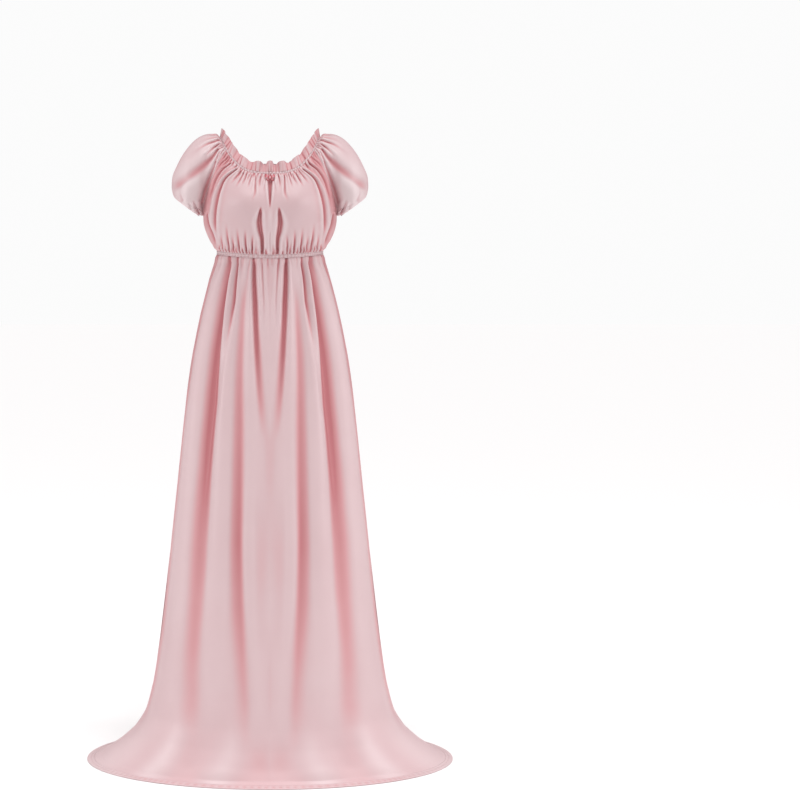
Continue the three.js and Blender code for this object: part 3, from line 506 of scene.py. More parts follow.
def smooth_sleeve(u, v):
    """The left sleeve with no gathers.

    u runs from the front seam over the shoulder to the back seam, and v from the cuff up.
    """
    front, back = sleeve_edge(front_raglan, v), sleeve_edge(back_raglan, v)
    ridge_x, ridge_height, ahead, behind, droop = (column(SLEEVE_SECTIONS[:, k], v) for k in range(5))
    ridge_y = 2 * (1 - v) + float(neck_point(math.radians(82))[1]) * v
    ridge = stack(ridge_x, ridge_y, ridge_height)
    rise = smoothstep(v, SLEEVE_ARMPIT, 1)

    def fullest(edge, side, amount):
        way = unit(stack(0.5 * rise, side * (1 - 0.25 * rise), 0.43 * rise))
        return (edge + ridge) / 2 + way * amount[..., None] - stack(0, 0, droop)

    before, after = fullest(front, -1, ahead), fullest(back, 1, behind)
    closed = (1 - smoothstep(v, 0, SLEEVE_ARMPIT + 0.15))[..., None]
    start = (2 * front - before) * (1 - closed) + after * closed
    end = (2 * back - after) * (1 - closed) + before * closed
    points = np.stack([start, front, before, ridge, after, back, end])
    span = np.clip(u, 0, 1) * 4
    i = np.minimum(np.floor(span).astype(int), 3)
    f = (span - i)[..., None]
    rows, cols = np.indices(u.shape)
    a, b, c, d = (points[i + k, rows, cols] for k in range(4))
    return 0.5 * (2 * b + (c - a) * f + (2 * a - 5 * b + 4 * c - d) * f**2 + (3 * b - a - 3 * c + d) * f**3)


def sleeve_panel(columns, rows):
    u, v = np.meshgrid(np.linspace(0, 1, columns + 1), np.linspace(0, 1, rows + 1))
    points = smooth_sleeve(u, v)
    # The puff swells quickly beside the lower half of the front raglan seam.
    swell = 8.0 * bump(u - 0.125, 0.075) * smoothstep(u, 0, 0.06) * smoothstep(v, 0.04, 0.24)
    swell = swell * (1 - smoothstep(v, 0.45, 0.8))
    points = points + grid_normals(points) * swell[..., None]
    normals = grid_normals(points)
    x, height = points[..., 0], points[..., 2]
    relief = np.zeros_like(u)
    for mark in SLEEVE_CREASES:
        relief += crease(x, height, **mark) * (1 - smoothstep(u, 0.42, 0.55))
    troughs = np.maximum(-relief, 0)
    relief *= 0.78
    neck_along, neck_away = u * SLEEVE_NECK, (1 - v) * SLEEVE_DROP
    starts = uneven(3, 92, 18, SEED + 11, 0.25)
    lines = gathers(neck_along, neck_away, starts, 42, 2.9, 1.0, SEED + 12, widen=0.05)
    relief += lines
    starts = uneven(20, 90, 5, SEED + 16, 0.3)
    relief += gathers(neck_along, neck_away, starts, 110, 2.4, 2.6, SEED + 17, widen=0.07)
    relief += 3.5 * bump(neck_away - 9, 7)
    # The cuff draws the sleeve in: shallow gathers all round.
    cuff_away = v * SLEEVE_LENGTH
    starts = uneven(6, 244, 21, SEED + 13, 0.3)
    relief += gathers(u * SLEEVE_CUFF, cuff_away, starts, 18, 1.4, 2.4, SEED + 14, widen=0.08)
    relief += 0.9 * soft_noise(u * SLEEVE_ROUND, cuff_away, 70, SEED + 15)
    edge = smoothstep(np.minimum(u, 1 - u), 0, 0.03)
    top = 1 - 0.5 * smoothstep(v, 0.97, 1.0)
    points = points + normals * (relief * edge * top)[..., None]
    angle = FRONT_SEAM + (BACK_SEAM - FRONT_SEAM) * u
    to_neck = smoothstep(v, 0.975, 1.0)[..., None]
    points = points * (1 - to_neck) + (neck_point(angle) + NECK_LAP * neck_up(angle)) * to_neck
    # Painted shade: deeper and redder in the creases and gathers, and a little along the ridge over the
    # shoulder; painted light on the crests.
    painted_shading = cavity(relief * edge, [(2, 1.3, 0.35), (6, 3.2, 0.35), (18, 8.0, 0.5)])
    painted_shading += 0.07 * troughs - 0.2 * lines + 0.15 * bump(u - 0.52, 0.07)
    # Painted light: a lighter tone all over the sleeve, and more on the lower half of the puff, beside the
    # front seam.
    painted_shading -= 0.12 + 0.9 * bump(v - 0.26, 0.2) * bump(u - 0.18, 0.14)
    # Painted shade: a redder tone in the crease beside the seam, and in the tuck at the underarm.
    beside = bump(u - 0.02, 0.045) * (1 - smoothstep(v, 0.5, 0.85))
    tuck = bump(u - 0.13, 0.06) * bump(v - 0.05, 0.07)
    return points, np.minimum(painted_shading + 0.4 * beside + 0.8 * tuck, 1.0)


# ---------------------------------------------------------------- skirt

SKIRT_SECTIONS = np.array([
    # height, side, front, back
    (1.2, 424, 246, 262), (9, 404, 238, 252), (40, 362, 224, 237), (72, 327, 213, 225), (118, 298, 203, 215),
    (185, 280, 195, 207), (290, 264, 186, 197), (410, 248, 176, 186), (530, 234, 166, 176),
    (650, 220, 156, 167), (770, 207, 145, 158), (880, 194, 135, 149), (980, 179, 126, 138),
    (1070, 160, 116, 122), (1140, 142, 107, 107), (1194, 125, 100, 93),
], float)
# Folds of a skirt panel, the same to the left and the right. Each row is (height, share of the half width,
# depth, inner width, outer width), the share from 0 in the middle to 1 at the side, and widths in share too.
SKIRT_FOLDS = {
    "side fold": [
        (1194, 0.745, 9, 0.035, 0.07), (1150, 0.730, 14, 0.040, 0.09), (1094, 0.730, 18, 0.048, 0.105),
        (955, 0.724, 20, 0.072, 0.11), (861, 0.720, 20, 0.088, 0.11), (678, 0.735, 16, 0.105, 0.11),
        (540, 0.725, 11, 0.115, 0.11), (401, 0.700, 6.5, 0.12, 0.12), (263, 0.675, 4, 0.12, 0.12),
        (162, 0.655, 3, 0.11, 0.12), (100, 0.65, 0, 0.11, 0.12),
    ],
    "inner fold": [
        (1194, 0.315, 8.5, 0.045, 0.020), (1150, 0.288, 11, 0.06, 0.022), (1094, 0.245, 10.5, 0.065, 0.028),
        (1020, 0.20, 8, 0.065, 0.034), (955, 0.165, 6, 0.065, 0.038), (860, 0.115, 3, 0.06, 0.045),
        (780, 0.08, 0, 0.05, 0.04),
    ],
    "middle fold": [
        (1140, 0.42, 0, 0.05, 0.07), (1094, 0.410, 2.0, 0.05, 0.07), (955, 0.382, 3.5, 0.055, 0.08),
        (817, 0.356, 4.5, 0.06, 0.085), (678, 0.334, 5.5, 0.06, 0.09), (540, 0.315, 6.5, 0.055, 0.10),
        (401, 0.285, 5.5, 0.055, 0.10), (263, 0.248, 3.4, 0.06, 0.095), (170, 0.215, 2.4, 0.06, 0.09),
        (101, 0.20, 1.2, 0.06, 0.08), (50, 0.19, 0, 0.06, 0.06),
    ],
    "hip fold": [
        (1194, 0.590, 6, 0.022, 0.03), (1150, 0.575, 8, 0.026, 0.04), (1094, 0.556, 8, 0.03, 0.045),
        (1000, 0.580, 6, 0.035, 0.05), (900, 0.600, 3, 0.04, 0.05), (820, 0.61, 0, 0.04, 0.05),
    ],
    "small fold": [
        (1194, 0.150, 4, 0.022, 0.025), (1150, 0.125, 4, 0.022, 0.03), (1094, 0.094, 3, 0.025, 0.03),
        (1000, 0.07, 0, 0.025, 0.03),
    ],
    "edge fold": [
        (1194, 0.955, 2, 0.02, 0.03), (1094, 0.975, 2.5, 0.02, 0.03), (817, 0.985, 2.5, 0.02, 0.03),
        (401, 0.99, 2, 0.02, 0.03), (150, 0.99, 2, 0.02, 0.03), (40, 0.99, 0, 0.02, 0.03),
    ],
}
# Flutes of the hem, where it spreads: share of the half width, lift, width in
# share, and the height at which the lift has faded.
HEM_FLUTES = [dict(share=0.30, lift=5, width=0.085, top=190), dict(share=0.68, lift=4.5, width=0.09, top=220),
              dict(share=0.48, lift=-4, width=0.07, top=170), dict(share=0.05, lift=-3, width=0.09, top=160)]
HEM_RISE = 2.2  # the skirt's foot stands on the inner edge of its hem
SKIRT_FOOT, SKIRT_TOP = 1.2, 1194  # heights of a panel's lower and upper edges
SKIRT_TOP_ARC = 355  # millimetres along the top of one panel


def skirt_panel(side, columns, rows):
    start = -math.pi / 2 if side == "front" else math.pi / 2
    # Rows are closer together near the waist and the floor.
    t = np.linspace(0, 1, rows + 1)
    heights = np.interp(t, [0, 0.1, 0.25, 0.8, 1], [SKIRT_FOOT, 40, 190, 1060, SKIRT_TOP])
    u, height = np.meshgrid(np.linspace(0, 1, columns + 1), heights)
    angle = start + math.pi * u
    v = np.interp(height, SKIRT_SECTIONS[:, 0], np.linspace(0, 1, len(SKIRT_SECTIONS)))
    half = column(SKIRT_SECTIONS[:, 1], v)
    depth = column(SKIRT_SECTIONS[:, 2 if side == "front" else 3], v)
    share = np.abs(np.sin(angle))
    relief = np.zeros_like(u)
    for table in SKIRT_FOLDS.values():
        fold = np.array(sorted(table))
        at, deep, inner, outer = (np.interp(height, fold[:, 0], fold[:, k]) for k in (1, 2, 3, 4))
        deep = np.where((height < fold[0, 0]) | (height > fold[-1, 0] + 1), 0, deep)
        away = share - at
        wide = np.where(away < 0, inner, outer)
        relief -= deep * (bump(away, wide) - 0.28 * bump(np.abs(away) - 2.0 * wide, wide))
    # Short gathers under the waist casing, and a few long ones.
    arc = np.where(np.sin(angle - start) >= 0, (u - 0.5) * SKIRT_TOP_ARC, 0)
    waist_away = SKIRT_TOP - height
    starts = uneven(-172, 172, 46, SEED + 21, 0.3)
    lines = gathers(arc, waist_away, starts, 36, 2.4, 1.8, SEED + 22, widen=0.05)
    relief += lines
    starts = uneven(-170, 170, 17, SEED + 23, 0.3)
    relief += gathers(arc, waist_away, starts, 150, 2.6, 4.0, SEED + 24, spread=0.0012, widen=0.05)
    relief += 2.0 * soft_noise(share * 260 + (side == "back") * 90, height * 0.22, 60, SEED + 25)
    relief *= smoothstep(height, SKIRT_FOOT, 60)
    # Painted shade in the folds and gathers, and a little painted light on the crests.
    painted_shading = np.maximum(cavity(relief, [(2, 2.0, 0.2), (6, 4.5, 0.3), (16, 8.5, 0.85)]), -0.08)
    # Painted shade beside the side seams and in the gathers; near the floor, a little painted shade in the
    # middle and painted light on the spread of the hem and on its flutes.
    painted_shading += 0.42 * smoothstep(share, 0.93, 0.998) * smoothstep(height, 60, 260) - 0.08 * lines
    near_floor = 1 - smoothstep(height, 30, 150)
    painted_shading += near_floor * (0.10 - 0.30 * smoothstep(share, 0.75, 0.95))
    for flute in HEM_FLUTES[:2]:
        painted_shading -= 0.34 * near_floor * bump(share - flute["share"], flute["width"])
    relief *= 1 - 0.6 * smoothstep(height, 1180, SKIRT_TOP)
    lift = np.zeros_like(u)
    for flute in HEM_FLUTES:
        swell = bump(share - flute["share"], flute["width"])
        lift += flute["lift"] * swell * (1 - smoothstep(height, 25, flute["top"])) * smoothstep(height, 0, 34)
    relief += lift * 1.1
    x, y = half * np.sin(angle), -depth * np.cos(angle)
    # The top edge follows the waist, which is highest at the sides.
    near_waist = smoothstep(height, 1060, SKIRT_TOP)
    rise = (WAIST["side_height"] - WAIST["front_height"]) * np.sin(angle) ** 2 * near_waist
    drop = WAIST[f"{side}_height"] - WAIST["front_height"]
    rise = rise + drop * np.cos(angle) ** 2 * near_waist
    # The top edge laps up over the waist casing.
    rise = rise + (WAIST_EDGE - WAIST_LAP) * smoothstep(height, 1184, SKIRT_TOP)
    relief += 1.8 * bump(height - 1187, 5)
    out = stack(np.sin(angle), -np.cos(angle), 0 * u)
    rise = rise + HEM_RISE * (1 - smoothstep(height, SKIRT_FOOT, 16)) + np.maximum(lift, 0) * 0.3
    return stack(x, y, height + rise) + out * relief[..., None], painted_shading


# ---------------------------------------------------------------- meshes


def new_object(name, vertices, faces):
    mesh = bpy.data.meshes.new(name)
    mesh.from_pydata([tuple(p) for p in vertices], [], faces)
    mesh.update()
    obj = bpy.data.objects.new(name, mesh)
    bpy.context.scene.collection.objects.link(obj)
    return obj


def shell(name, points, thickness, tone, loop=False, mirror=False):
    """A closed thin wall over a grid of points, in millimetres above the floor, with its tone of painted
    shade and painted light.
    """
    normals = grid_normals(points, loop)
    rows, cols = points.shape[0], points.shape[1]
    outer_points = points + normals * (thickness / 2)
    inner_points = points - normals * (thickness / 2)
    both = np.concatenate([outer_points.reshape(-1, 3), inner_points.reshape(-1, 3)])
    both = both - np.array((0, 0, HOLD_HEIGHT))
    if mirror:
        both = both * np.array((-1, 1, 1))
    both = both * MM
    layer = rows * cols
    span = cols if loop else cols - 1
    i, j = np.meshgrid(np.arange(span), np.arange(rows - 1))
    a = j * cols + i
    b = j * cols + (i + 1) % cols
    c, d = b + cols, a + cols
    outer = np.stack([a, b, c, d], axis=-1).reshape(-1, 4)
    inner = np.stack([a, d, c, b], axis=-1).reshape(-1, 4) + layer
    i = np.arange(span)
    a, b = i, (i + 1) % cols
    foot = np.stack([a, a + layer, b + layer, b], axis=-1)
    a, b = a + (rows - 1) * cols, b + (rows - 1) * cols
    head = np.stack([a, b, b + layer, a + layer], axis=-1)
    faces = [outer, inner, foot, head]
    if not loop:
        a = np.arange(rows - 1) * cols
        faces.append(np.stack([a, a + cols, a + cols + layer, a + layer], axis=-1))
        a = a + cols - 1
        faces.append(np.stack([a, a + layer, a + cols + layer, a + cols], axis=-1))
    faces = np.concatenate(faces)
    if mirror:
        faces = faces[:, ::-1]
    obj = new_object(name, both, faces.tolist())
    mesh = obj.data
    mesh.polygons.foreach_set("use_smooth", np.ones(len(mesh.polygons), bool))
    # The cloth's own map: metres across and along the piece.
    across = np.cumsum(np.linalg.norm(np.diff(points, axis=1), axis=2), axis=1)
    across = np.concatenate([np.zeros((rows, 1)), across], axis=1)
    along = np.cumsum(np.linalg.norm(np.diff(points, axis=0), axis=2), axis=0)
    along = np.concatenate([np.zeros((1, cols)), along], axis=0)
    cloth = np.stack([across, along], axis=-1).reshape(-1, 2) * MM
    cloth = np.concatenate([cloth, cloth])
    layer_uv = mesh.uv_layers.new(name="cloth")
    index = np.empty(len(mesh.loops), int)
    mesh.loops.foreach_get("vertex_index", index)
    layer_uv.data.foreach_set("uv", cloth[index].ravel())
    fold = mesh.attributes.new("fold", "FLOAT", "POINT")
    fold.data.foreach_set("value", np.concatenate([tone.ravel(), tone.ravel()]))
    return obj


# ---------------------------------------------------------------- satin


def satin(name, light, shade, roughness=0.38, weave=0.10):
    material = bpy.data.materials.new(name)
    material.use_nodes = True
    nodes, links = material.node_tree.nodes, material.node_tree.links
    shader = nodes["Principled BSDF"]
    shader.inputs["Specular IOR Level"].default_value = 0.30
    shader.inputs["Sheen Weight"].default_value = 0.25
    shader.inputs["Sheen Roughness"].default_value = 0.35
    shader.inputs["Sheen Tint"].default_value = (0.85, 0.42, 0.46, 1)
    shader.inputs["Anisotropic"].default_value = 0.45
    place = nodes.new("ShaderNodeTexCoord")
    thread = nodes.new("ShaderNodeTangent")
    thread.direction_type = "UV_MAP"
    thread.uv_map = "cloth"
    links.new(thread.outputs["Tangent"], shader.inputs["Tangent"])
    fold = nodes.new("ShaderNodeAttribute")
    fold.attribute_name = "fold"
    # The colour follows the shell's tone, the attribute "fold", which is painted shade and painted light, and
    # the dye varies very slightly.
    cloud = nodes.new("ShaderNodeTexNoise")
    cloud.inputs["Scale"].default_value = 9.0
    cloud.inputs["Detail"].default_value = 3.0
    links.new(place.outputs["Object"], cloud.inputs["Vector"])
    speckle = nodes.new("ShaderNodeMath")
    speckle.operation = "MULTIPLY_ADD"
    speckle.inputs[1].default_value = 0.10
    speckle.inputs[2].default_value = 0.25
    links.new(cloud.outputs["Fac"], speckle.inputs[0])
    tone = nodes.new("ShaderNodeMath")
    tone.operation = "MULTIPLY_ADD"
    tone.inputs[1].default_value = 0.7
    links.new(fold.outputs["Fac"], tone.inputs[0])
    links.new(speckle.outputs[0], tone.inputs[2])
    ramp = nodes.new("ShaderNodeValToRGB")
    # The ramp: a painted highlight on the crests, the satin's own colour in the middle, and painted shade in
    # the troughs.
    crest, middle = ramp.color_ramp.elements
    crest.position, crest.color = 0.0, (*(1 - 0.74 * (1 - np.array(light))), 1)
    middle.position, middle.color = 0.3, (*light, 1)
    trough = ramp.color_ramp.elements.new(0.95)
    trough.color = (*shade, 1)
    # Painted shade: half-way to a trough the colour is redder, and hardly darker.
    redder_half_shade = ramp.color_ramp.elements.new(0.58)
    redder_half_shade.color = (0.97 * light[0], *(0.5 * (a + b) for a, b in zip(light[1:], shade[1:])), 1)
    links.new(tone.outputs[0], ramp.inputs["Fac"])
    links.new(ramp.outputs["Color"], shader.inputs["Base Color"])
    # The gloss varies a little with the same clouds as the dye.
    gloss = nodes.new("ShaderNodeMapRange")
    gloss.inputs["To Min"].default_value = roughness - 0.05
    gloss.inputs["To Max"].default_value = roughness + 0.08
    links.new(cloud.outputs["Fac"], gloss.inputs["Value"])
    links.new(gloss.outputs["Result"], shader.inputs["Roughness"])
    # Satin weave: fine slanted floats, with a faint crepe of softer slubs.
    mapping = nodes.new("ShaderNodeMapping")
    mapping.inputs["Scale"].default_value = (1400.0, 900.0, 1.0)
    mapping.inputs["Rotation"].default_value = (0, 0, math.radians(27))
    links.new(place.outputs["UV"], mapping.inputs["Vector"])
    floats = nodes.new("ShaderNodeTexNoise")
    floats.inputs["Scale"].default_value = 1.0
    floats.inputs["Detail"].default_value = 2.0
    links.new(mapping.outputs["Vector"], floats.inputs["Vector"])
    slub = nodes.new("ShaderNodeTexNoise")
    slub.inputs["Scale"].default_value = 140.0
    slub.inputs["Detail"].default_value = 4.0
    links.new(place.outputs["UV"], slub.inputs["Vector"])
    relief = nodes.new("ShaderNodeMath")
    relief.operation = "ADD"
    links.new(floats.outputs["Fac"], relief.inputs[0])
    links.new(slub.outputs["Fac"], relief.inputs[1])
    emboss = nodes.new("ShaderNodeBump")
    emboss.inputs["Strength"].default_value = weave
    emboss.inputs["Distance"].default_value = 0.0004
    links.new(relief.outputs[0], emboss.inputs["Height"])
    links.new(emboss.outputs["Normal"], shader.inputs["Normal"])
    return material


SATIN_PANEL = satin("pink satin", (0.605, 0.435, 0.45), (0.47, 0.165, 0.18))
# The shirred satin of the casings is a lighter copy of the panels' satin: painted light.
SATIN_CASING = satin("pink satin, shirred", (0.63, 0.465, 0.48), (0.44, 0.19, 0.205), roughness=0.42)
SATIN_HEM = satin("pink satin, turned hem", (0.61, 0.44, 0.455), (0.47, 0.165, 0.18))
SATIN_BOW = satin("pink satin ribbon", (0.62, 0.26, 0.29), (0.20, 0.035, 0.05), roughness=0.3)


def finish_piece(obj, material, slot, *nodes):
    obj.data.materials.append(material)
    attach(obj, "root")
    if nodes:
        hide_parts(*nodes)


# ---------------------------------------------------------------- the pieces

# Columns and rows of each piece's grid. The front panels' grids are finer.
BODICE_GRID = {"front": (290, 160), "back": (190, 110)}
SLEEVE_GRID = (170, 130)
SKIRT_GRID = {"front": (270, 165), "back": (210, 120)}
FRILL_GRID, CASING_GRID, HEM_GRID = (900, 16), (1100, 10), (420, 8)

for side in ("front", "back"):
    points, painted_shading = bodice_panel(side, *BODICE_GRID[side])
    bodice = shell(f"{side}_bodice", points, SATIN, painted_shading)
    finish_piece(bodice, SATIN_PANEL, "satin_panels", f"bodice_{side}")

for hand, mirror in (("left", False), ("right", True)):
    points, painted_shading = sleeve_panel(*SLEEVE_GRID)
    sleeve = shell(f"{hand}_sleeve", points, SATIN, painted_shading, mirror=mirror)
    finish_piece(sleeve, SATIN_PANEL, "satin_panels", f"sleeve_{hand}")

for side in ("front", "back"):
    points, painted_shading = skirt_panel(side, *SKIRT_GRID[side])
    skirt = shell(f"{side}_skirt", points, SATIN, painted_shading)
    finish_piece(skirt, SATIN_PANEL, "satin_panels", f"skirt_{side}")

# Frill: the cloth above the neck elastic, gathered into waves that are wide in front and crisp behind.
FRILL_HEIGHT, FRILL_WAVES = 23.0, 27


def frill_points(columns, rows):
    u, v = np.meshgrid(np.arange(columns) / columns, np.linspace(0, 1, rows + 1))
    angle = u * 2 * math.pi
    ahead = np.clip(np.cos(angle), 0, 1) ** 3
    # Uneven waves, widest in front, each with a rounded crown, a pinched foot and notches beside it.
    wander = 0.9 * np.sin(3 * angle) + 0.45 * np.sin(5 * angle) + 0.3 * np.sin(8 * angle)
    phase = FRILL_WAVES * angle - 8 * np.sin(angle) + wander
    swell = 1 + 0.22 * np.sin(4 * angle + 0.7) + 0.18 * np.sin(7 * angle + 2.1)
    wave = np.cos(phase)
    swing = (0.9 + 3.8 * v**0.85) * swell * (1 - 0.35 * np.sin(angle) ** 10)
    slope = np.sin(2 * angle) ** 2 * np.where(np.cos(angle) > 0, 1.0, 0.4)
    height = FRILL_HEIGHT * (1 - 0.33 * np.sin(angle) ** 8 - 0.15 * np.clip(-np.cos(angle), 0, 1))
    notch = (0.5 - 0.5 * np.cos(phase + 0.25 * np.sin(9 * angle))) ** 3
    shoulder = np.sin(angle) ** 10
    drop = (2.4 + 2.2 * ahead) * swell * notch * (1 - 0.6 * shoulder)
    rise = 5.2 + v * (height + 1.8) - drop * v**2
    # Sharp little pleats run up from the elastic, closest together at the sides.
    pleat = (0.5 - 0.5 * np.cos(4 * phase + 1.1 + 1.8 * np.sin(4 * angle) + 1.5 * np.sin(11 * angle))) ** 5
    strength = 0.75 + 0.45 * np.sin(17 * angle + 0.6) + 0.4 * np.sin(29 * angle + 2.0)
    pleat = pleat * np.clip(strength, 0.15, 1.4)
    out = swing * wave + (2 - 9 * slope) * v + 0.8 * np.sin(2 * phase + 0.8) * v
    out = out - 1.5 * pleat * (1 - 0.75 * v)
    points = neck_point(angle) + neck_up(angle) * rise[..., None] + neck_out(angle) * out[..., None]
    tangent = unit(neck_point(angle + 1e-3) - neck_point(angle - 1e-3))
    points = points + tangent * (0.9 * np.sin(2 * phase) * v)[..., None]
    # The tone is painted shade: deeper all round and deeper still in the pleats, with painted light on the
    # waves' outward swings.
    side = 1 - 0.35 * ahead
    return points, 0.20 + 1.25 * pleat * (1 - 0.6 * v) * side - 0.22 * wave * side


points, tone = frill_points(*FRILL_GRID)
frill = shell("neck_ruffle", points, FRILL_CLOTH, np.clip(tone, -0.2, 1.0), loop=True)
finish_piece(frill, SATIN_PANEL, "satin_panels", "neck_frill")


def casing_points(place, out, columns, rows, puckers, depth, seed):
    """An elastic channel: a slim band drawn into uneven puckers by a stitched line along each edge."""
    u, v = np.meshgrid(np.arange(columns) / columns, np.linspace(0, 1, rows + 1))
    angle = u * 2 * math.pi
    rng = np.random.default_rng(seed)
    wander = sum(rng.uniform(0.5, 1.2) * np.sin(k * angle + rng.uniform(0, 6)) for k in (2, 3, 5, 8, 13))
    swell = 1 + 0.35 * np.sin(11 * angle + rng.uniform(0, 6))
    pucker = np.cos(puckers * angle + wander + 0.3 * np.sin(7 * v)) * swell
    groove = bump(v - 0.14, 0.09) + bump(v - 0.86, 0.09)
    relief = depth * pucker * (0.5 + 0.5 * np.sin(math.pi * v)) - 0.28 * groove
    return place(angle, v) + out(angle) * relief[..., None], relief


for name, place, out, puckers, depth, seed in (
    ("neck", lambda angle, v: neck_point(angle) + neck_up(angle) * (0.4 + 5.4 * v)[..., None],
     neck_out, 104, 0.45, SEED + 41),
    ("waist", lambda angle, v: waist_point(angle, (v - 0.5) * 9.6), waist_out, 88, 0.3, SEED + 42),
):
    points, relief = casing_points(place, out, *CASING_GRID, puckers, depth, seed)
    # The tone is painted shade in the hollows of the puckers and the stitched grooves, and painted light on
    # their crowns.
    band = shell(f"{name}_elastic", points, ELASTIC, np.clip(-0.5 * relief, -0.4, 0.6), loop=True)
    finish_piece(band, SATIN_CASING, "satin_casings", f"{name}_casing")

# Cuffs: a narrow elastic channel just inside each sleeve's lower edge.
CUFF_HEIGHT, CUFF_ABOVE_EDGE, CUFF_INSET = 6.5, 2.0, 2.6
CUFF_COLUMNS, CUFF_ROWS, CUFF_PUCKERS = 240, 9, 34
ring_u = np.arange(CUFF_COLUMNS) / CUFF_COLUMNS
ring = smooth_sleeve(ring_u[None, :], np.zeros((1, CUFF_COLUMNS)))[0]
ring_top = smooth_sleeve(np.array([[0.5]]), np.zeros((1, 1)))[0, 0]
cuff_axis = -unit(np.cross(ring_top - CUFF_UNDERARM, np.array((0.0, 1.0, 0.0))))
around = np.roll(ring, -1, axis=0) - np.roll(ring, 1, axis=0)
cuff_out = unit(-np.cross(around, cuff_axis))
down = np.linspace(CUFF_HEIGHT, 0, CUFF_ROWS)[:, None, None] - CUFF_ABOVE_EDGE
pucker = 0.5 * np.cos(2 * math.pi * CUFF_PUCKERS * ring_u + np.sin(2 * math.pi * 3 * ring_u))
swell = (np.sin(math.pi * np.linspace(0, 1, CUFF_ROWS)) * 0.7)[:, None] + pucker[None, :]
points = ring[None] + cuff_axis * down + cuff_out[None] * (swell - CUFF_INSET)[..., None]
# The tone is painted shade in the hollows between the puckers and along the channel's edges, and painted
# light on their crowns.
tone = np.clip(-0.25 * swell, -0.4, 0.6)
for hand, mirror in (("left", False), ("right", True)):
    cuff = shell(f"{hand}_cuff_elastic", points, ELASTIC, tone, loop=True, mirror=mirror)
    finish_piece(cuff, SATIN_CASING, "satin_casings", f"cuff_{hand}")

# Hems: the turned edge of each skirt panel, a band that lies on the floor under the skirt's foot.
HEM_WIDTH, HEM_LAP = 14.3, 2.0


def hem_points(side, columns, rows):
    start = -math.pi / 2 if side == "front" else math.pi / 2
    u, v = np.meshgrid(np.linspace(0, 1, columns + 1), np.linspace(0, 1, rows + 1))
    angle = start + math.pi * u
    foot = SKIRT_SECTIONS[0]
    depth = foot[2] if side == "front" else foot[3]
    # The inner edge laps over the skirt's foot by the hem lap.
    reach = v * (HEM_WIDTH + HEM_LAP) / HEM_WIDTH
    grow = HEM_WIDTH * (1 - reach)
    ripple = 0.25 * np.cos(150 * angle + 2 * np.sin(9 * angle)) * np.sin(math.pi * v)
    stitched = 0.3 * bump(v - 0.6, 0.10)
    height = 1.0 + (0.2 + HEM_RISE) * reach**1.3 + 0.5 * smoothstep(v, 0.75, 1.0) + ripple - stitched
    # The tone is painted shade in the ripples' hollows and along the stitched groove, and painted light on
    # the ripples' crowns and towards the sides.
    tone = -0.5 * (ripple - stitched) - 0.25 * smoothstep(np.abs(np.sin(angle)), 0.66, 0.95)
    return stack((foot[1] + grow) * np.sin(angle), -(depth + grow) * np.cos(angle), height), tone


for side in ("front", "back"):
    points, tone = hem_points(side, *HEM_GRID)
    hem = shell(f"{side}_hem", points, HEM_CLOTH, tone)
    finish_piece(hem, SATIN_HEM, "satin_hem", f"hem_{side}")


# Bow: two ribbon loops, a knot and two short tails, just under the neck.
def ribbon(name, node, path, widths, across, turns=1, bend=0.5):
    """A ribbon along a path of points. Its width lies along across, and its edges bend forward a little.

    Turns is how many times its tone goes from deep painted shade to painted light and back.
    """
    path, across = np.asarray(path, float), np.asarray(across, float)
    t = np.linspace(0, 1, 41)
    line = np.stack([column(path[:, k], t) for k in range(3)], axis=-1)
    wide = column(widths, t)
    w = np.linspace(-1, 1, 11)
    bow_out = np.array((0.0, -1.0, 0.0))
    points = line[None] + across * (w[:, None] * wide[None] / 2)[..., None]
    curl = bend * (w[:, None] ** 2) + 0.15 * np.cos(9 * w[:, None]) * (1 - t[None])
    points = points + bow_out * curl[..., None]
    # Painted shade at the ribbon's ends and turns, and a painted highlight between them.
    tone = 1.1 * np.abs(np.cos(math.pi * t * turns)) ** 0.7 - 0.35
    obj = shell(name, points, RIBBON, np.broadcast_to(tone[None], points.shape[:2]))
    finish_piece(obj, SATIN_BOW, "satin_bow", node)


def node_middle(name):
    low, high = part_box(name)
    return np.array((low + high) / 2) / MM + np.array((0, 0, HOLD_HEIGHT))


knot = node_middle("bow_knot") + np.array((0, -1.0, -1.2))
for hand, way in (("left", 1.0), ("right", -1.0)):
    forward = np.array((0.0, -2.4, 0.0))
    far = knot + (way * 10.2, 0.6, 4.2)
    middle = (knot + far) / 2
    path = [knot + (way * 0.6, -0.6, 0), middle + forward, far + (0, -0.9, 0.3), far + (0, 0.9, 0),
            middle - 0.5 * forward, knot + (way * 0.6, 0.6, 0)]
    widths = [2.0, 6.4, 7.4, 7.2, 5.6, 2.0]
    ribbon(f"{hand}_bow_loop", f"bow_loop_{hand}", path, widths, (-0.35 * way, 0, 0.94), turns=2)
    tip = knot + (way * 8.4, 1.0, -8.6)
    path = [knot + (way * 0.8, 0.2, -1.0), (knot + tip) / 2 + (way * 0.8, -1.2, 0.4), tip]
    widths = [2.0, 4.0, 5.0]
    ribbon(f"{hand}_bow_tail", f"bow_tail_{hand}", path, widths, (0.70, 0, 0.71 * way), bend=0.4)
turn, tall = np.meshgrid(np.arange(28) / 28 * 2 * math.pi, np.linspace(-1, 1, 13))
girth = 2.3 * np.sqrt(np.clip(1 - 0.72 * tall**4, 0, 1)) * (1 + 0.07 * np.cos(5 * turn))
points = knot + stack(girth * np.sin(turn), -1.1 * girth * np.cos(turn), 3.0 * tall)
# The knot's tone: a painted highlight round its middle, and painted shade towards its top and bottom.
centre = shell("bow_centre", points, RIBBON, 0.5 * tall**2 - 0.35, loop=True)
finish_piece(centre, SATIN_BOW, "satin_bow", "bow_knot")

# ---------------------------------------------------------------- stitches


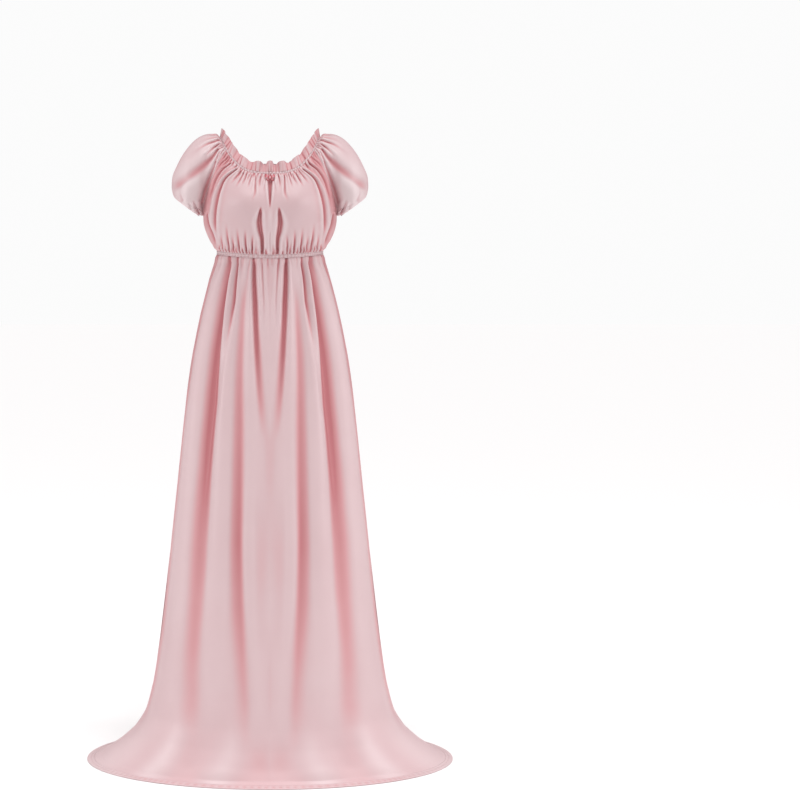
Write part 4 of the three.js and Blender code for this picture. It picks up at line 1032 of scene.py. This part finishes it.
def thread(name, colour):
    material = bpy.data.materials.new(name)
    material.use_nodes = True
    nodes, links = material.node_tree.nodes, material.node_tree.links
    shader = nodes["Principled BSDF"]
    shader.inputs["Roughness"].default_value = 0.55
    place = nodes.new("ShaderNodeTexCoord")
    ply = nodes.new("ShaderNodeTexNoise")
    ply.inputs["Scale"].default_value = 900.0
    links.new(place.outputs["Object"], ply.inputs["Vector"])
    ramp = nodes.new("ShaderNodeValToRGB")
    ramp.color_ramp.elements[0].color = (*[0.7 * c for c in colour], 1)
    ramp.color_ramp.elements[0].position = 0.3
    ramp.color_ramp.elements[1].color = (*colour, 1)
    ramp.color_ramp.elements[1].position = 0.7
    links.new(ply.outputs["Fac"], ramp.inputs["Fac"])
    links.new(ramp.outputs["Color"], shader.inputs["Base Color"])
    return material


ELASTIC_THREAD = thread("grey elastic thread", (0.34, 0.26, 0.27))
PINK_THREAD = thread("pink thread", (0.80, 0.64, 0.66))


def stitches(name, places, outs, length, width, material, slot, slant=0.0):
    """A row of stitches: a small faceted bead at every place, long along the row and rounded across."""
    along = unit(np.roll(places, -1, axis=0) - np.roll(places, 1, axis=0))
    side = unit(np.cross(outs, along))
    lean = along * math.cos(slant) + side * math.sin(slant)
    cross = unit(np.cross(outs, lean))
    ring = [(0.0, 1.0), (0.8, 0.55), (0.8, -0.55), (0.0, -1.0), (-0.8, -0.55), (-0.8, 0.55)]
    vertices, faces = [], []
    for p, a, c, o in zip(places, lean, cross, outs):
        base = len(vertices)
        vertices.append(p - a * length / 2)
        for share in (-0.28, 0.28):
            vertices += [p + a * length * share + (c * x + o * y) * width / 2 for x, y in ring]
        vertices.append(p + a * length / 2)
        for k in range(6):
            n = (k + 1) % 6
            faces.append((base, base + 1 + n, base + 1 + k))
            faces.append((base + 1 + k, base + 1 + n, base + 7 + n, base + 7 + k))
            faces.append((base + 7 + k, base + 7 + n, base + 13))
    vertices = (np.array(vertices) - np.array((0, 0, HOLD_HEIGHT))) * MM
    obj = new_object(name, vertices, faces)
    obj.data.polygons.foreach_set("use_smooth", np.ones(len(obj.data.polygons), bool))
    finish_piece(obj, material, slot)


def ring_angles(count):
    return np.arange(count) / count * 2 * math.pi


NECK_STITCHES, WAIST_STITCHES, HEM_STITCHES = 196, 172, 420  # in a row round the neck or waist, or on a hem
STITCH_OUT = 1.2  # from a channel's middle out to its stitches

angle = ring_angles(NECK_STITCHES)
for row, height in (("lower", 0.9), ("upper", 5.0)):
    places = neck_point(angle) + neck_up(angle) * height + neck_out(angle) * STITCH_OUT
    stitches(f"neck_stitching_{row}", places, neck_out(angle), 1.9, 0.7, ELASTIC_THREAD, "satin_casings",
             slant=0.12)
angle = ring_angles(WAIST_STITCHES)
for row, height in (("lower", -2.5), ("upper", 2.3)):
    places = waist_point(angle, height) + waist_out(angle) * STITCH_OUT
    stitches(f"waist_stitching_{row}", places, waist_out(angle), 2.3, 0.75, ELASTIC_THREAD, "satin_casings",
             slant=-0.12)
foot = SKIRT_SECTIONS[0]
for side, depth, first in (("front", foot[2], -math.pi / 2), ("back", foot[3], math.pi / 2)):
    angle = first + (np.arange(HEM_STITCHES) + 0.5) / HEM_STITCHES * math.pi
    grow = HEM_WIDTH * 0.4
    places = stack((foot[1] + grow) * np.sin(angle), -(depth + grow) * np.cos(angle), 3.2)
    stitches(f"{side}_hem_stitching", places, stack(0 * angle, 0, 1.0), 1.7, 0.8, PINK_THREAD, "satin_hem")

# ---------------------------------------------------------------- stage, light and camera

scene = bpy.context.scene
bpy.ops.mesh.primitive_plane_add(size=60, location=(0, 8.0, -HOLD_HEIGHT * MM - 0.0006))
floor = bpy.context.object
floor.name = "studio_floor"
floor_paint = bpy.data.materials.new("studio white")
floor_paint.use_nodes = True
floor_shader = floor_paint.node_tree.nodes["Principled BSDF"]
floor_shader.inputs["Base Color"].default_value = (0.95, 0.95, 0.95, 1)
floor_shader.inputs["Roughness"].default_value = 0.9
floor_shader.inputs["Specular IOR Level"].default_value = 0.1
floor.data.materials.append(floor_paint)

# The camera sees white walls. The even light that they give the gown is weaker, and slightly pink.
world = bpy.data.worlds.new("studio")
scene.world = world
world.use_nodes = True
world_nodes, world_links = world.node_tree.nodes, world.node_tree.links
walls = world_nodes["Background"]
walls.inputs["Color"].default_value = (1, 1, 1, 1)
walls.inputs["Strength"].default_value = 0.97
fill = world_nodes.new("ShaderNodeBackground")
fill.inputs["Color"].default_value = (1.0, 0.955, 0.955, 1)
fill.inputs["Strength"].default_value = 0.33
seen = world_nodes.new("ShaderNodeLightPath")
mix = world_nodes.new("ShaderNodeMixShader")
world_links.new(seen.outputs["Is Camera Ray"], mix.inputs["Fac"])
world_links.new(fill.outputs[0], mix.inputs[1])
world_links.new(walls.outputs[0], mix.inputs[2])
world_links.new(mix.outputs[0], world_nodes["World Output"].inputs["Surface"])


def lamp(name, kind, place, energy, target=(0, 0, -0.7), **settings):
    data = bpy.data.lights.new(name, kind)
    data.energy = energy
    for key, value in settings.items():
        setattr(data, key, value)
    obj = bpy.data.objects.new(name, data)
    obj.location = place
    obj.rotation_euler = (Vector(target) - Vector(place)).to_track_quat("-Z", "Y").to_euler()
    scene.collection.objects.link(obj)


# A broad light high in front, which reaches the whole floor evenly, a weak softbox over the camera and a
# strip light to each side for the flanks.
lamp("ceiling", "SUN", (0.25, -1.35, 3.0), 2.45, angle=math.radians(50))
lamp("softbox", "AREA", (0.0, -3.7, 1.5), 5, shape="RECTANGLE", size=1.0, size_y=0.8)
for name, way in (("left_strip", -1), ("right_strip", 1)):
    lamp(name, "AREA", (3.6 * way, -0.9, 0.1), 36, target=(0, 0, -0.6), shape="RECTANGLE", size=0.8,
         size_y=2.0)

CAMERA_PLACE, CAMERA_TARGET = (0, -4.0, -0.32), (0, 0, -0.530)
scene.view_settings.view_transform = "Standard"
camera_data = bpy.data.cameras.new("camera")
camera_data.lens = 75.9
camera_data.sensor_width = 36
camera_data.shift_x = 0.1625
camera_data.shift_y = -0.04175
camera = bpy.data.objects.new("camera", camera_data)
camera.location = CAMERA_PLACE
camera.rotation_euler = (Vector(CAMERA_TARGET) - camera.location).to_track_quat("-Z", "Y").to_euler()
scene.collection.objects.link(camera)
scene.camera = camera
